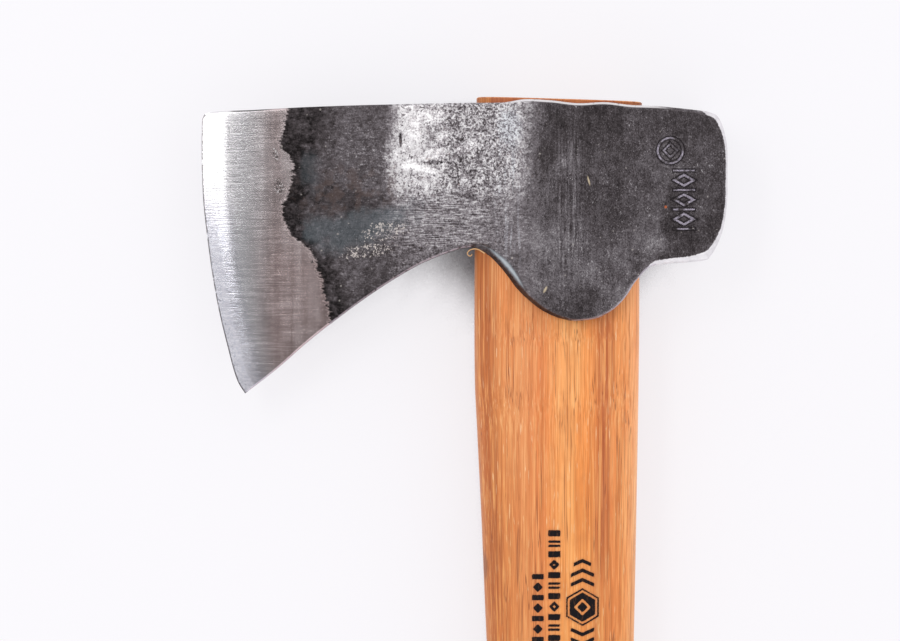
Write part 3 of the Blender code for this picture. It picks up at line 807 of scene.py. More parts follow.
# ------------------------------------------------------------------ materials
def steel_material():
    g = Graph("forged_steel")
    grind, bare, lug = g.attr("grind"), g.attr("bare"), g.attr("lug_strip")
    geo = g.node("ShaderNodeNewGeometry")
    nxyz = g.node("ShaderNodeSeparateXYZ")
    g.link(geo.outputs["Normal"], nxyz.inputs[0])
    cheekward = g.step(g.math("ABSOLUTE", nxyz.outputs[2]), 0.10, 0.35)  # 0 on the narrow walls round the outline
    X, Y = g.x, g.y

    def near(cx, cy, rx, ry, turn=0.0, soft=0.5, wobble=None, amount=0.0):
        """1 inside an ellipse in mm, falling to 0 over a soft border."""
        c, s = math.cos(turn), math.sin(turn)
        dx, dy = g.sub(X, cx), g.sub(Y, cy)
        u = g.mul(g.add(g.mul(dx, c), g.mul(dy, s)), 1 / rx)
        v = g.mul(g.add(g.mul(dy, c), g.mul(dx, -s)), 1 / ry)
        r = g.math("SQRT", g.add(g.mul(u, u), g.mul(v, v)))
        if wobble is not None:
            r = g.add(r, g.mul(wobble, amount))
        return g.step(r, 1 + soft, 1 - soft)

    def centred(value):
        return g.sub(value, 0.5)

    # ---- noises shared by the layers
    fine = centred(g.noise(2.9, 2, 0.7, offset=6.0))
    grain = centred(g.noise(1.0, 3, 0.65, vec=g.stretch(4.0, 2.0, 2.0), offset=36.0))
    speck = centred(g.noise(1.35, 2, 0.6, offset=10.0))
    mid = centred(g.noise(0.62, 4, 0.6, offset=5.0))
    big = centred(g.noise(0.13, 3, 0.55, 0.3, offset=3.0))
    down = centred(g.noise(1.0, 4, 0.6, vec=g.stretch(1.5, 0.10, 1.0), offset=7.0))
    cross = centred(g.noise(1.0, 3, 0.6, vec=g.stretch(0.30, 3.8, 1.0), offset=14.0))
    pock = centred(g.noise(1.9, 1, 0.5, offset=43.0))
    comb = centred(g.noise(1.0, 4, 0.6, vec=g.stretch(0.11, 3.0, 1.0), offset=20.0))

    # ---- where the grinding reached: a tooth-edged, smudged line
    teeth = centred(g.noise(1.0, 4, 0.65, vec=g.stretch(0.45, 1.7, 1.0), offset=1.0))
    edge = g.add(g.add(grind, g.mul(teeth, 4.6)), g.add(g.mul(mid, 1.6), g.mul(fine, 1.5)))
    ground = g.step(edge, -0.45, 0.5)

    # ---- black forge scale
    wrinkle = centred(g.noise(1.0, 3, 0.62, vec=g.stretch(0.75, 1.9, 1.0), offset=37.0))
    on_cheek = g.step(X, -10.0, -2.0)
    tone = g.add(g.mix(on_cheek, 0.312, 0.343), g.add(g.mul(big, 0.20), g.add(g.mul(mid, 0.20), g.mul(fine, 0.42))))
    tone = g.add(tone, g.mul(g.sub(1.0, on_cheek), g.add(g.mul(wrinkle, 0.42), g.mul(mid, 0.16))))
    tone = g.add(tone, g.mul(on_cheek, g.add(g.mul(grain, 0.50), g.mul(down, 0.18))))
    drift = centred(g.noise(1.0, 3, 0.6, 0.4, vec=g.stretch(0.16, 0.075, 0.2), offset=41.0))
    tone = g.add(tone, g.mul(on_cheek, g.mul(drift, 0.34)))
    chips = g.mul(g.step(g.add(fine, g.mul(mid, 0.5)), 0.15, 0.22), g.step(centred(g.noise(0.20, 2, 0.5, offset=42.0)), 0.0, 0.10))
    tone = g.add(tone, g.mul(on_cheek, g.mul(chips, 0.20)))
    # plates of scale: some nearly black, some grey with a fine bluish frost
    tone = g.sub(tone, g.mul(near(-64.5, -6.0, 6.5, 6.0, 0.2, 0.4, mid, 2.2), 0.055))
    tone = g.sub(tone, g.mul(near(-57.0, -25.5, 10.0, 3.2, -0.05, 0.5, mid, 2.6), 0.075))
    tone = g.sub(tone, g.mul(near(-47.0, -46.0, 17.0, 5.0, 0.66, 0.5, mid, 2.0), 0.045))
    frost = near(-50.5, -12.5, 9.0, 9.5, 0.0, 0.6, mid, 2.0)
    tone = g.add(tone, g.mul(frost, g.add(0.022, g.mul(g.step(g.add(wrinkle, g.mul(fine, 0.6)), 0.06, 0.20), 0.13))))
    tone = g.sub(tone, g.add(g.mul(g.mul(g.step(X, 24.0, 32.0), g.step(Y, -24.0, -33.0)), 0.050), g.mul(near(16.6, -33.0, 6.0, 5.0, 0.0, 0.6), 0.045)))
    tone = g.add(tone, g.mul(g.mul(g.step(X, 18.0, 28.0), g.step(Y, -24.0, -15.0)), 0.026))
    tone = g.add(tone, g.mul(near(-1.0, -26.0, 7.0, 9.0, 0.0, 0.6), 0.032))
    tone = g.add(tone, g.mul(near(6.0, -50.0, 11.0, 6.0, 0.0, 0.6), 0.022))
    tone = g.sub(tone, g.mul(near(-67.5, -28.0, 5.0, 7.5, 0.0, 0.6, mid, 1.5), 0.045))
    tone = g.add(tone, g.mul(g.step(g.add(fine, g.mul(speck, 0.5)), 0.14, 0.24), 0.10))
    # darkest beside the ground steel and along the foot of the blade
    beside = g.mul(g.step(g.add(grind, g.mul(g.step(Y, -16.0, -11.0), 4.5)), -7.0, -3.0), g.step(centred(g.noise(0.22, 3, 0.6, offset=31.0)), -0.11, 0.02))
    rim_dark = g.step(grind, -3.0, -0.5)
    tone = g.sub(tone, g.mul(g.mul(g.math("MAXIMUM", beside, rim_dark), g.step(Y, -5.0, -14.0, 0.62, 1.0)), 0.19))
    tone = g.add(tone, g.mul(near(-53.0, -47.0, 8.0, 4.5, 0.62, 0.5), 0.04))
    cheek = g.step(X, -8.0, -1.5)
    tone = g.sub(tone, g.mul(cheek, 0.045))
    top_dark = g.mul(g.step(X, -3.0, 2.0), g.step(Y, -17.0, -9.0))
    tone = g.sub(tone, g.mul(g.mul(top_dark, g.step(X, 20.0, 8.0)), 0.06))

    # ---- where the scale is worn thin on the swell of the cheek
    sway = centred(g.noise(0.30, 3, 0.6, offset=12.0))
    x_in = g.add(X, g.mul(sway, 4.0))
    left = g.step(g.add(x_in, g.mul(g.step(Y, -16.0, -4.0), -1.6)), -47.0, -41.8)
    lower = g.step(g.add(Y, g.mul(sway, 10.0)), -29.0, -19.0)
    right = g.step(g.add(x_in, g.mul(Y, -0.10)), -0.5, -11.0)
    level = g.mul(left, g.mul(g.mix(lower, 0.34, 1.0), right))
    level = g.mul(level, g.step(g.add(Y, g.mul(X, -0.25)), -44.0, -30.0))
    level = g.mul(level, g.mix(cheekward, 0.25, 1.0))
    silver = g.mul(left, g.mul(g.step(X, -26.0, -34.0), g.step(Y, -27.0, -20.0)))
    tone = g.add(tone, g.mul(level, 0.284))
    tone = g.add(tone, g.mul(near(-31.0, -31.0, 11.0, 5.0, 0.0, 0.6), 0.035))
    tone = g.add(tone, g.mul(silver, 0.040))
    misty = g.mul(g.mul(g.step(x_in, -46.5, -43.0), g.step(x_in, -33.0, -38.5)), g.step(Y, -27.0, -17.0))
    tone = g.add(tone, g.mul(misty, g.add(0.055, g.mul(down, 0.5))))
    grit = g.mix(silver, 1.05, 0.55)
    pit_n = g.add(pock, g.add(g.mul(fine, 0.45), g.mul(mid, 0.25)))
    pit_t = g.add(g.mix(silver, 0.030, 0.115), g.mul(sway, -0.16))
    pits = g.mul(g.step(g.sub(pit_n, pit_t), 0.0, 0.035), level)
    grit = g.mul(grit, g.step(X, -5.0, -17.0, 0.45, 1.0))
    tone = g.add(tone, g.mul(g.mul(level, grit), g.add(g.mul(fine, 0.92), g.mul(speck, 0.42))))
    tone = g.add(tone, g.mul(g.mul(level, 0.46), g.add(mid, g.mul(sway, 0.7))))
    plateau = g.step(g.add(mid, g.mul(speck, 0.45)), 0.030, 0.065)
    coarse = g.mul(g.mul(level, g.step(X, -13.0, -22.0)), g.step(Y, -30.0, -24.0))
    tone = g.add(tone, g.mul(coarse, g.mul(g.sub(plateau, 0.35), 0.10)))
    pits = g.mul(pits, g.step(X, -5.0, -17.0, 0.55, 1.0))
    # pale bluish bare patch beside the eye and streaks below it
    patch = near(-12.5, -6.4, 3.0, 5.2, 0.10, 0.45, mid, 1.4)
    tone = g.add(tone, g.mul(patch, 0.095))
    stripe = g.mul(g.mul(near(-12.5, -26.0, 3.6, 21.0, 0.05, 0.6), g.step(down, 0.0, 0.13)), 1.0)
    tone = g.add(tone, g.mul(stripe, 0.10))
    # combed lines low in the neck
    brushed = near(-31.0, -30.5, 17.0, 8.0, 0.12, 0.5)
    tone = g.add(tone, g.mul(brushed, g.add(0.055, g.mul(cross, 1.2))))
    # larger polished flakes
    sliver = g.math("MAXIMUM", near(-36.0, -16.9, 4.9, 0.80, -0.24, 0.35, mid, 2.2), near(-39.0, -15.9, 2.0, 1.2, 0.2, 0.35, mid, 2.2))
    flake = sliver
    for cx, cy, rx, ry, t in (
        (-34.4, -21.4, 1.0, 2.0, 0.1), (-22.3, -11.0, 2.1, 1.5, 0.6), (-25.8, -12.0, 1.3, 1.0, -0.4),
        (-21.3, -27.6, 1.1, 0.9, 0.0), (-29.9, -8.5, 1.9, 1.2, 0.3), (-37.5, -7.0, 2.2, 3.6, 0.1),
        (-32.3, -13.1, 3.0, 1.4, 0.2), (-24.1, -20.2, 1.1, 1.3, 0.0), (-33.2, -3.2, 4.0, 1.6, 0.1),
    ):
        flake = g.math("MAXIMUM", flake, near(cx, cy, rx, ry, t, 0.45, mid, 3.4))
    flake = g.mul(flake, left)
    tone = g.math("MINIMUM", tone, g.add(0.695, g.mul(g.add(fine, mid), 0.30)))
    tone = g.add(tone, g.add(g.mul(flake, 0.045), g.mul(sliver, 0.110)))
    tone = g.sub(tone, g.mul(g.mul(pits, g.sub(1.0, g.mul(flake, 0.75))), g.mix(silver, 0.27, 0.30)))
    slit = g.math("MAXIMUM", near(-41.2, -9.4, 0.36, 1.7, 0.05, 0.35), g.mul(near(-32.8, -15.4, 2.6, 0.45, -0.05, 0.6, g.add(mid, fine), 3.0), 0.62))
    tone = g.sub(tone, g.mul(slit, 0.36))
    # vertical streaks on the cheek beside the eye, lightened as a painted highlight streak, and haze on the lower cheek
    streak_highlight_area = g.mul(g.mul(g.step(X, -1.5, 1.0), g.step(X, 8.0, 4.0)), g.mul(g.step(Y, -4.0, -12.0), g.step(Y, -52.0, -38.0)))
    tone = g.add(tone, g.mul(streak_highlight_area, g.add(0.035, g.mul(down, 0.65))))
    low_haze = g.mul(g.step(Y, -22.0, -36.0), g.step(X, -14.0, -6.0))
    tone = g.add(tone, g.mul(low_haze, g.add(0.060, g.mul(big, 0.30))))
    cloud = near(25.5, -38.0, 3.2, 2.4, 0.2, 0.7, mid, 2.4)
    cloud = g.math("MAXIMUM", cloud, g.mul(near(15.0, -39.0, 4.6, 3.2, 0.5, 0.8, mid, 2.4), 0.55))
    tone = g.add(tone, g.mul(cloud, 0.10))
    # painted shade on the rounded margin of the lug, and a bright broken rim along the edges, partly worn metal and
    # partly a painted highlight
    tone = g.sub(tone, g.mul(g.attr("lug_margin_shade"), 0.17))
    rim = g.attr("rim")
    worn_rim_and_highlight = g.mul(g.mul(g.step(rim, 0.75, 0.15), g.step(g.math("ABSOLUTE", nxyz.outputs[2]), 0.05, 0.16)), g.step(centred(g.noise(0.8, 3, 0.6, offset=33.0)), -0.06, 0.08))
    tone = g.add(tone, g.mul(g.mul(g.mul(worn_rim_and_highlight, g.step(X, -45.0, -30.0)), g.sub(1.0, g.attr("lug_margin_shade"))), 0.15))

    col = g.ramp(tone, [
        (0.06, (0.014, 0.012, 0.012)), (0.27, (0.078, 0.067, 0.070)), (0.40, (0.166, 0.148, 0.158)),
        (0.52, (0.300, 0.278, 0.290)), (0.66, (0.540, 0.520, 0.528)), (0.82, (0.800, 0.785, 0.790)), (0.98, (0.93, 0.93, 0.93)),
    ])
    # tints: bluish smooth scale, brown film
    haze_n = centred(g.noise(0.26, 3, 0.6, offset=9.0))
    blue = g.math("MAXIMUM", near(-52.0, -32.5, 14.0, 4.4, 0.30, 0.45, haze_n, 1.8), g.mul(near(-65.0, -18.0, 2.2, 4.2, 0.1, 0.6, haze_n, 3.2), 0.5))
    blue = g.math("MAXIMUM", blue, near(-62.5, -33.0, 4.4, 4.0, 0.2, 0.4, haze_n, 2.0))
    blue = g.mul(blue, g.step(grind, -0.8, -2.6))
    col = g.blend(g.mul(blue, 0.60), col, g.blend(g.add(0.5, g.mul(g.add(mid, fine), 1.6)), (0.088, 0.104, 0.116), (0.150, 0.172, 0.188)))
    brown = g.mul(near(-55.0, -22.5, 13.0, 6.0, 0.1, 0.6), g.step(centred(g.noise(0.4, 4, 0.6, offset=8.0)), -0.02, 0.10))
    col = g.blend(g.mul(brown, 0.5), col, (0.120, 0.085, 0.076))
    rust = g.mul(g.step(centred(g.noise(0.9, 3, 0.65, offset=34.0)), 0.13, 0.2), g.mul(level, 1.0))
    col = g.blend(g.mul(rust, 0.35), col, (0.30, 0.20, 0.17))
    bluish = g.mul(g.math("MAXIMUM", patch, g.mul(stripe, 0.8)), 0.6)
    col = g.blend(bluish, col, g.blend(1.0, col, (0.93, 1.0, 1.05), "MULTIPLY"))

    # pale broken flakes low on the blade
    fl_area = g.math("MAXIMUM", near(-45.5, -33.6, 9.0, 3.6, 0.15, 0.5), near(-50.0, -38.6, 9.0, 2.8, 0.12, 0.5))
    fl = g.step(g.add(g.add(g.mul(speck, 1.1), g.mul(fine, 1.3)), g.mul(g.sub(fl_area, 1.0), 0.7)), 0.085, 0.16)
    col = g.blend(g.mul(fl, 0.80), col, (0.70, 0.64, 0.60))
    dots = g.node("ShaderNodeTexVoronoi", feature="F1")
    dots.inputs["Scale"].default_value = 0.42
    g.link(g.p, dots.inputs["Vector"])
    dot = g.mul(g.step(dots.outputs["Distance"], 0.15, 0.06), g.step(centred(g.noise(0.5, 2, 0.5, offset=19.0)), 0.02, 0.07))
    col = g.blend(g.mul(dot, 0.5), col, (0.62, 0.57, 0.53))
    orange = near(28.4, -27.2, 0.35, 0.35, 0, 0.4)
    fibre_a = g.math("MAXIMUM", near(8.2, -20.3, 0.22, 1.2, 0.25, 0.4), near(-3.2, -48.9, 0.3, 0.9, -0.5, 0.4))
    col = g.blend(orange, col, (0.60, 0.18, 0.08))
    col = g.blend(g.mul(fibre_a, 0.8), col, (0.72, 0.60, 0.42))

    # ---- ground steel
    bands = centred(g.noise(1.0, 3, 0.55, vec=g.stretch(0.34, 0.012, 0.3), offset=22.0))
    soft = centred(g.noise(0.20, 3, 0.5, offset=24.0))
    steel = g.add(0.535, g.add(g.mul(bands, 1.0), g.add(g.mul(soft, 0.7), g.add(g.mul(comb, g.step(grind, 2.0, 8.0, 0.30, 0.75)), g.mul(fine, 0.35)))))
    steel_col = g.ramp(steel, [(0.22, (0.375, 0.305, 0.300)), (0.50, (0.500, 0.418, 0.415)), (0.78, (0.66, 0.585, 0.585))])
    scratch = g.step(centred(g.noise(1.0, 2, 0.5, vec=g.stretch(2.6, 0.085, 1.0), offset=26.0)), 0.15, 0.20)
    steel_col = g.blend(g.mul(scratch, 0.24), steel_col, (0.75, 0.70, 0.70))
    steel_col = g.blend(g.mul(g.step(Y, -24.0, -46.0), 0.8), steel_col, g.blend(1.0, steel_col, (1.12, 1.03, 1.01), "MULTIPLY"))
    to_edge = g.step(X, -73.0, -84.0)
    steel_col = g.blend(g.mul(to_edge, 0.9), steel_col, g.blend(g.add(0.5, g.mul(comb, 1.6)), (0.66, 0.65, 0.67), (0.86, 0.85, 0.87)))
    flecks = g.mul(g.step(g.add(speck, g.mul(fine, 0.6)), 0.19, 0.24), g.step(edge, 4.2, 0.4))
    steel_col = g.blend(flecks, steel_col, (0.04, 0.034, 0.033))
    for cx, cy, rx, ry in ((-73.4, -21.6, 1.3, 1.9), (-74.2, -13.2, 0.7, 1.8)):
        spot = near(cx, cy, rx, ry, 0.3, 0.5)
        dark = g.step(g.add(fine, g.mul(speck, 0.8)), 0.03, 0.09)
        light = g.step(g.add(fine, g.mul(speck, 0.8)), -0.05, -0.11)
        steel_col = g.blend(g.mul(spot, g.mul(dark, 0.9)), steel_col, (0.03, 0.026, 0.026))
        steel_col = g.blend(g.mul(spot, g.mul(light, 0.8)), steel_col, (0.92, 0.90, 0.90))
    # the honed strip: slightly stained towards the heel, a fine dark burr along the very edge
    honed = g.attr("honed")
    strip_x = g.step(honed, 6.2, 4.6)
    stain = g.mul(g.mul(strip_x, g.step(Y, -22.0, -34.0)), g.step(g.add(g.mul(speck, 1.2), fine), -0.05, 0.12))
    steel_col = g.blend(g.mul(stain, 0.40), steel_col, (0.38, 0.39, 0.46))
    silvery = g.mul(g.step(honed, 13.0, 5.0), g.step(Y, -22.0, -40.0))
    steel_col = g.blend(g.mul(silvery, 0.5), steel_col, g.blend(g.add(0.5, g.mul(comb, 1.6)), (0.66, 0.67, 0.71), (0.86, 0.87, 0.91)))
    outer = g.mul(g.step(honed, 9.0, 5.5), g.step(Y, -18.0, -28.0))
    steel_col = g.blend(g.mul(outer, 0.75), steel_col, g.blend(1.0, steel_col, (0.80, 0.80, 0.84), "MULTIPLY"))
    burr_n = g.add(g.mul(mid, 1.2), g.mul(speck, 0.8))
    burr_line = g.mul(g.step(g.add(honed, g.mul(burr_n, 0.5)), 0.42, 0.20), g.step(burr_n, -0.22, -0.05))
    steel_col = g.blend(g.mul(burr_line, 0.85), steel_col, (0.10, 0.085, 0.09))
    nicks = g.mul(g.step(honed, 2.4, 0.6), g.step(g.add(fine, speck), 0.16, 0.22))
    steel_col = g.blend(g.mul(nicks, 0.6), steel_col, (0.20, 0.19, 0.21))
    col = g.blend(ground, col, steel_col)

    # ---- ground facets round the poll and the bright strip at the front of the lug, a bare facet with a painted highlight along its middle
    facet = g.step(g.add(bare, g.add(g.mul(mid, 0.45), g.mul(fine, 0.5))), 0.0, 0.25)
    facet_col = g.blend(g.add(0.5, g.mul(mid, 2.0)), (0.62, 0.60, 0.62), (0.86, 0.84, 0.86))
    col = g.blend(facet, col, facet_col)
    # a thin pale painted highlight line along the lower edges
    lower_edge_highlight = g.mul(g.mul(g.attr("lower_edge_highlight"), cheekward), g.step(mid, -0.14, -0.02))
    col = g.blend(g.mul(lower_edge_highlight, 0.75), col, (0.55, 0.50, 0.57))
    # painted shadow: a dark line along the top edge of the ground steel towards the toe
    top_edge_painted_shadow = g.mul(g.mul(g.step(g.attr("rim"), 0.5, 0.2), g.step(Y, -4.0, -3.0)), g.mul(g.step(X, -87.0, -85.0), g.step(X, -74.0, -78.0)))
    col = g.blend(g.mul(g.mul(top_edge_painted_shadow, cheekward), 0.9), col, (0.05, 0.04, 0.04))
    # a pale line along the top edge: partly worn metal, partly a painted highlight
    crown = g.mul(g.mul(g.step(g.attr("rim"), 0.66, 0.44), g.step(g.math("ABSOLUTE", nxyz.outputs[2]), 0.05, 0.16)), g.step(Y, -4.5, -3.0))
    crown = g.mul(g.mul(crown, g.mul(g.step(X, -16.0, -10.0), g.step(X, 31.0, 24.0))), g.step(mid, -0.22, -0.12))
    col = g.blend(g.mul(crown, 0.85), col, (0.86, 0.84, 0.84))
    # the lug strip: bare steel, bright along its middle as a painted highlight
    strip = g.step(g.add(lug, g.mul(mid, 1.1)), -0.1, 0.75)
    col = g.blend(g.mul(strip, 0.8), col, g.blend(g.step(lug, 0.1, 0.8), (0.18, 0.21, 0.23), (0.55, 0.62, 0.66)))
    mark = touchmark_nodes(g)
    face = g.step(g.z, 4.0, 8.0)
    worn_mark = g.add(mark, g.add(g.mul(fine, 0.5), g.mul(mid, 0.25)))
    # the struck mark: a dark rim round the strokes as painted shade, and a pale fill on their sunk floors as a painted
    # highlight
    lip = g.mul(g.mul(g.step(worn_mark, -0.10, 0.06), g.step(worn_mark, 0.46, 0.20)), face)
    sunk = g.mul(g.mul(g.step(worn_mark, 0.04, -0.12), face), g.step(g.add(mid, big), -0.16, 0.03))
    col = g.blend(g.mul(lip, 0.85), col, (0.022, 0.018, 0.020))
    col = g.blend(g.mul(sunk, 0.85), col, g.blend(g.add(0.5, g.mul(fine, 3.0)), (0.30, 0.27, 0.33), (0.60, 0.55, 0.64)))
    g.link(col, g.bsdf.inputs["Base Color"])

    # ---- gloss
    rough = g.add(0.47, g.add(g.mul(mid, 0.5), g.mul(fine, 0.5)))
    rough = g.mix(blue, rough, 0.40)
    rough = g.mix(level, rough, g.add(0.37, g.mul(speck, 0.6)))
    rough = g.mix(flake, rough, 0.35)
    rough = g.mix(fl, rough, 0.6)
    rough = g.mix(ground, rough, g.add(0.215, g.mul(comb, 0.3)))
    rough = g.mix(facet, rough, 0.30)
    g.link(g.math("MAXIMUM", rough, 0.14), g.bsdf.inputs["Roughness"])
    g.bsdf.inputs["Metallic"].default_value = 1.0

    # ---- relief: scale grain, pits, combed and grinding lines, the struck mark
    grain_h = g.add(g.mul(fine, 0.9), g.mul(mid, 1.1))
    pit_h = g.sub(g.add(g.mul(fine, 1.1), g.add(g.mul(speck, 0.6), g.mul(mid, 0.7))), g.mul(pits, 0.75))
    h = g.mix(level, grain_h, pit_h)
    h = g.mix(silver, h, g.mul(h, 0.55))
    h = g.mix(g.mul(flake, 0.8), h, g.mul(cross, 0.3))
    h = g.sub(h, g.mul(slit, 1.5))
    h = g.add(h, g.mul(brushed, g.mul(cross, 2.6)))
    h = g.mix(ground, h, g.add(g.mul(comb, 0.34), 0.35))
    h = g.mix(facet, h, g.mul(comb, 0.3))
    normal = g.bump(h, 0.00010, 1.0)
    dent = g.mul(g.step(g.add(mark, g.mul(fine, 0.25)), 0.25, -0.22), face)
    normal = g.bump(g.sub(1.0, dent), 0.00045, 1.0, normal)
    g.link(normal, g.bsdf.inputs["Normal"])
    return g.mat


def touchmark_nodes(g):
    """Distance in mm from the strokes of a plain struck mark: a ring with a lozenge, and lozenges between bars."""
    X, Y = g.x, g.y

    def lozenge(cx, cy, r, squat=1.0):
        a = g.mul(g.math("ABSOLUTE", g.sub(X, cx)), squat)
        b = g.math("ABSOLUTE", g.sub(Y, cy))
        return g.mul(g.sub(g.add(a, b), r * 1.4142), 0.7071)

    def bar(cx, cy, hx, hy):
        a = g.sub(g.math("ABSOLUTE", g.sub(X, cx)), hx)
        b = g.sub(g.math("ABSOLUTE", g.sub(Y, cy)), hy)
        return g.math("MAXIMUM", a, b)

    def shell(d, w):
        return g.sub(g.math("ABSOLUTE", d), w)

    dx, dy = g.sub(X, 29.6), g.sub(Y, -12.4)
    r = g.math("SQRT", g.add(g.mul(dx, dx), g.mul(dy, dy)))
    d = shell(g.sub(r, 3.3), 0.30)
    d = g.math("MINIMUM", d, shell(lozenge(29.6, -12.4, 1.25), 0.27))
    for cy in (-20.2, -25.3, -30.4):
        d = g.math("MINIMUM", d, shell(lozenge(33.2, cy, 0.98, 0.56), 0.27))
    for cy in (-17.65, -22.75, -27.85, -32.95):
        d = g.math("MINIMUM", d, bar(33.2, cy, 2.9, 0.26))
    return d


def near_streak(g, cx, cy, rx, ry):
    """A short mineral streak on the upper face, ragged along the grain."""
    u = g.mul(g.sub(g.x, cx), 1 / rx)
    v = g.mul(g.sub(g.y, cy), 1 / ry)
    r = g.math("SQRT", g.add(g.mul(u, u), g.mul(v, v)))
    r = g.add(r, g.mul(g.sub(g.noise(1.0, 3, 0.6, vec=g.stretch(1.6, 0.25, 1.6), offset=17.0), 0.5), 2.4))
    return g.mul(g.step(r, 1.3, 0.5), g.step(g.z, 0.0, 3.0))


def wood_material(name="hickory", darken=1.0, end_only=False):
    g = Graph(name)
    # the figure follows the swell from the tongue to the grip
    figure = g.node("ShaderNodeCombineXYZ")
    depth = g.mul(g.z, g.step(g.y, -90.0, -52.0, 1.0, 1.286))
    for socket, value in zip(figure.inputs, (g.x, g.y, depth)):
        g.link(value, socket)
    g.p = figure.outputs[0]
    # growth rings: broad shells whose cut shows as lines along the handle and as arcs on its ends
    warp = g.noise(1.0, 2, 0.5, vec=g.stretch(0.05, 0.009, 0.05), offset=1.0)
    warp2 = g.noise(1.0, 2, 0.5, vec=g.stretch(0.25, 0.022, 0.25), offset=2.0)
    px = g.add(g.x, g.add(g.mul(g.sub(warp, 0.5), 9.0), g.mul(g.sub(warp2, 0.5), 1.6)))
    zz = g.mul(g.z, g.z)
    ring_x = g.add(px, g.mul(zz, 0.012))
    # colour across the face, from the front edge of the handle to the back; the pale pinkish stop at the back edge is a
    # painted sheen
    across = g.math("DIVIDE", g.add(g.add(g.x, g.mul(g.sub(warp, 0.5), 3.0)), 24.0), 48.0)
    base = g.ramp(across, [
        (0.04, srgb(205, 128, 68)), (0.130, srgb(200, 120, 60)), (0.20, srgb(226, 147, 86)), (0.31, srgb(232, 153, 98)),
        (0.42, srgb(235, 156, 103)), (0.50, srgb(250, 174, 109)), (0.60, srgb(254, 179, 111)), (0.68, srgb(247, 167, 100)),
        (0.725, srgb(220, 138, 82)), (0.79, srgb(232, 147, 86)), (0.87, srgb(247, 168, 103)), (0.955, srgb(252, 187, 138)),
    ])
    slow = g.noise(1.0, 3, 0.55, vec=g.stretch(0.16, 0.014, 0.16), offset=3.0)
    base = g.blend(g.step(slow, 0.35, 0.68), base, g.blend(1.0, base, srgb(250, 226, 204), "MULTIPLY"))
    wave = g.math("SINE", g.mul(ring_x, 2.05))
    late = g.step(wave, 0.25, 0.98)
    ring_break = g.noise(1.0, 3, 0.6, vec=g.stretch(0.5, 0.05, 0.5), offset=4.0)
    late = g.mul(late, g.step(ring_break, 0.36, 0.62))
    base = g.blend(g.mul(late, 0.34), base, srgb(178, 92, 42))
    # long fibres: crossing dark and light lines, close together near the front and back edges
    busy = g.add(g.step(across, 0.36, 0.16), g.step(across, 0.60, 0.78))
    busy = g.math("MAXIMUM", g.math("MINIMUM", busy, 1.0), 0.35)
    fa = g.noise(1.0, 3, 0.55, vec=g.stretch(1.25, 0.016, 1.25), offset=5.0)
    fb = g.noise(1.0, 3, 0.6, vec=g.stretch(2.2, 0.035, 2.2), offset=6.0)
    fibre = fb
    base = g.blend(g.mul(g.mul(g.step(fa, 0.50, 0.64), busy), 0.62), base, srgb(180, 100, 40))
    base = g.blend(g.mul(g.mul(g.step(fa, 0.45, 0.34), busy), 0.34), base, srgb(255, 198, 130))
    base = g.blend(g.mul(g.step(fb, 0.52, 0.66), 0.36), base, srgb(190, 108, 46))
    base = g.blend(g.mul(g.step(fb, 0.45, 0.33), 0.30), base, srgb(255, 204, 140))
    fc = g.noise(1.0, 2, 0.6, vec=g.stretch(4.6, 0.045, 4.6), offset=16.0)
    base = g.blend(g.mul(g.step(fc, 0.50, 0.66), 0.42), base, srgb(186, 104, 48))
    base = g.blend(g.mul(g.step(fc, 0.46, 0.34), 0.38), base, srgb(255, 206, 150))
    pores = g.noise(1.0, 2, 0.5, vec=g.stretch(3.0, 0.12, 3.0), offset=7.0)
    porous = g.step(wave, -0.2, 0.6)
    pore = g.mul(g.step(pores, 0.63, 0.70), g.mix(porous, 0.45, 1.0))
    base = g.blend(g.mul(pore, 0.42), base, srgb(142, 74, 36))
    dash = g.noise(1.0, 2, 0.5, vec=g.stretch(2.6, 0.16, 2.6), offset=11.0)
    base = g.blend(g.mul(g.step(dash, 0.65, 0.71), 0.55), base, srgb(255, 226, 188))
    # a few long dark mineral lines
    lines = g.noise(1.0, 2, 0.5, vec=g.stretch(0.75, 0.010, 0.75), offset=8.0)
    line = g.mul(g.step(g.math("ABSOLUTE", g.sub(lines, 0.5)), 0.016, 0.004), g.step(g.noise(1.0, 2, 0.5, vec=g.stretch(0.3, 0.03, 0.3), offset=12.0), 0.44, 0.56))
    base = g.blend(g.mul(line, 0.62), base, srgb(132, 66, 32))
    streak = near_streak(g, -19.2, -122.0, 1.0, 4.6)
    base = g.blend(g.mul(streak, 0.62), base, srgb(112, 56, 34))
    cloudy = g.noise(1.0, 3, 0.55, vec=g.stretch(0.20, 0.10, 0.2), offset=14.0)
    base = g.blend(g.mul(g.step(cloudy, 0.52, 0.72), 0.30), base, srgb(196, 118, 66))
    # a dark resinous band near the front edge, a reddish one towards the back
    down_y = g.math("MULTIPLY", g.add(g.y, 72.0), -1.0)
    sway = g.mul(g.sub(g.noise(1.0, 2, 0.5, vec=g.stretch(0.05, 0.03, 0.05), offset=15.0), 0.5), 3.0)
    xa = g.add(g.sub(g.x, g.mul(down_y, 0.045)), sway)
    xb = g.add(g.add(g.x, g.mul(down_y, 0.028)), sway)
    band_a = g.mul(g.mul(g.step(xa, -20.8, -19.2), g.step(xa, -14.6, -17.6)), g.step(fa, 0.40, 0.56))
    band_b = g.mul(g.mul(g.step(xb, 10.0, 12.0), g.step(xb, 15.0, 12.9)), g.step(fa, 0.38, 0.56))
    base = g.blend(g.mul(band_a, 0.50), base, srgb(160, 82, 34))
    base = g.blend(g.mul(g.mul(band_b, g.step(g.y, -135.0, -105.0)), 0.62), base, srgb(172, 84, 46))
    # the front edge is browner from the swell downwards
    brown = g.mul(g.step(g.y, -66.0, -118.0), g.step(across, 0.50, 0.16))
    base = g.blend(brown, base, g.blend(1.0, base, (0.93, 0.88, 0.78), "MULTIPLY"))
    # warmer and deeper down the grip
    base = g.blend(1.0, base, g.blend(g.step(g.y, -62.0, -150.0), (1.06, 1.06, 1.01), (0.98, 0.93, 0.75)), "MULTIPLY")
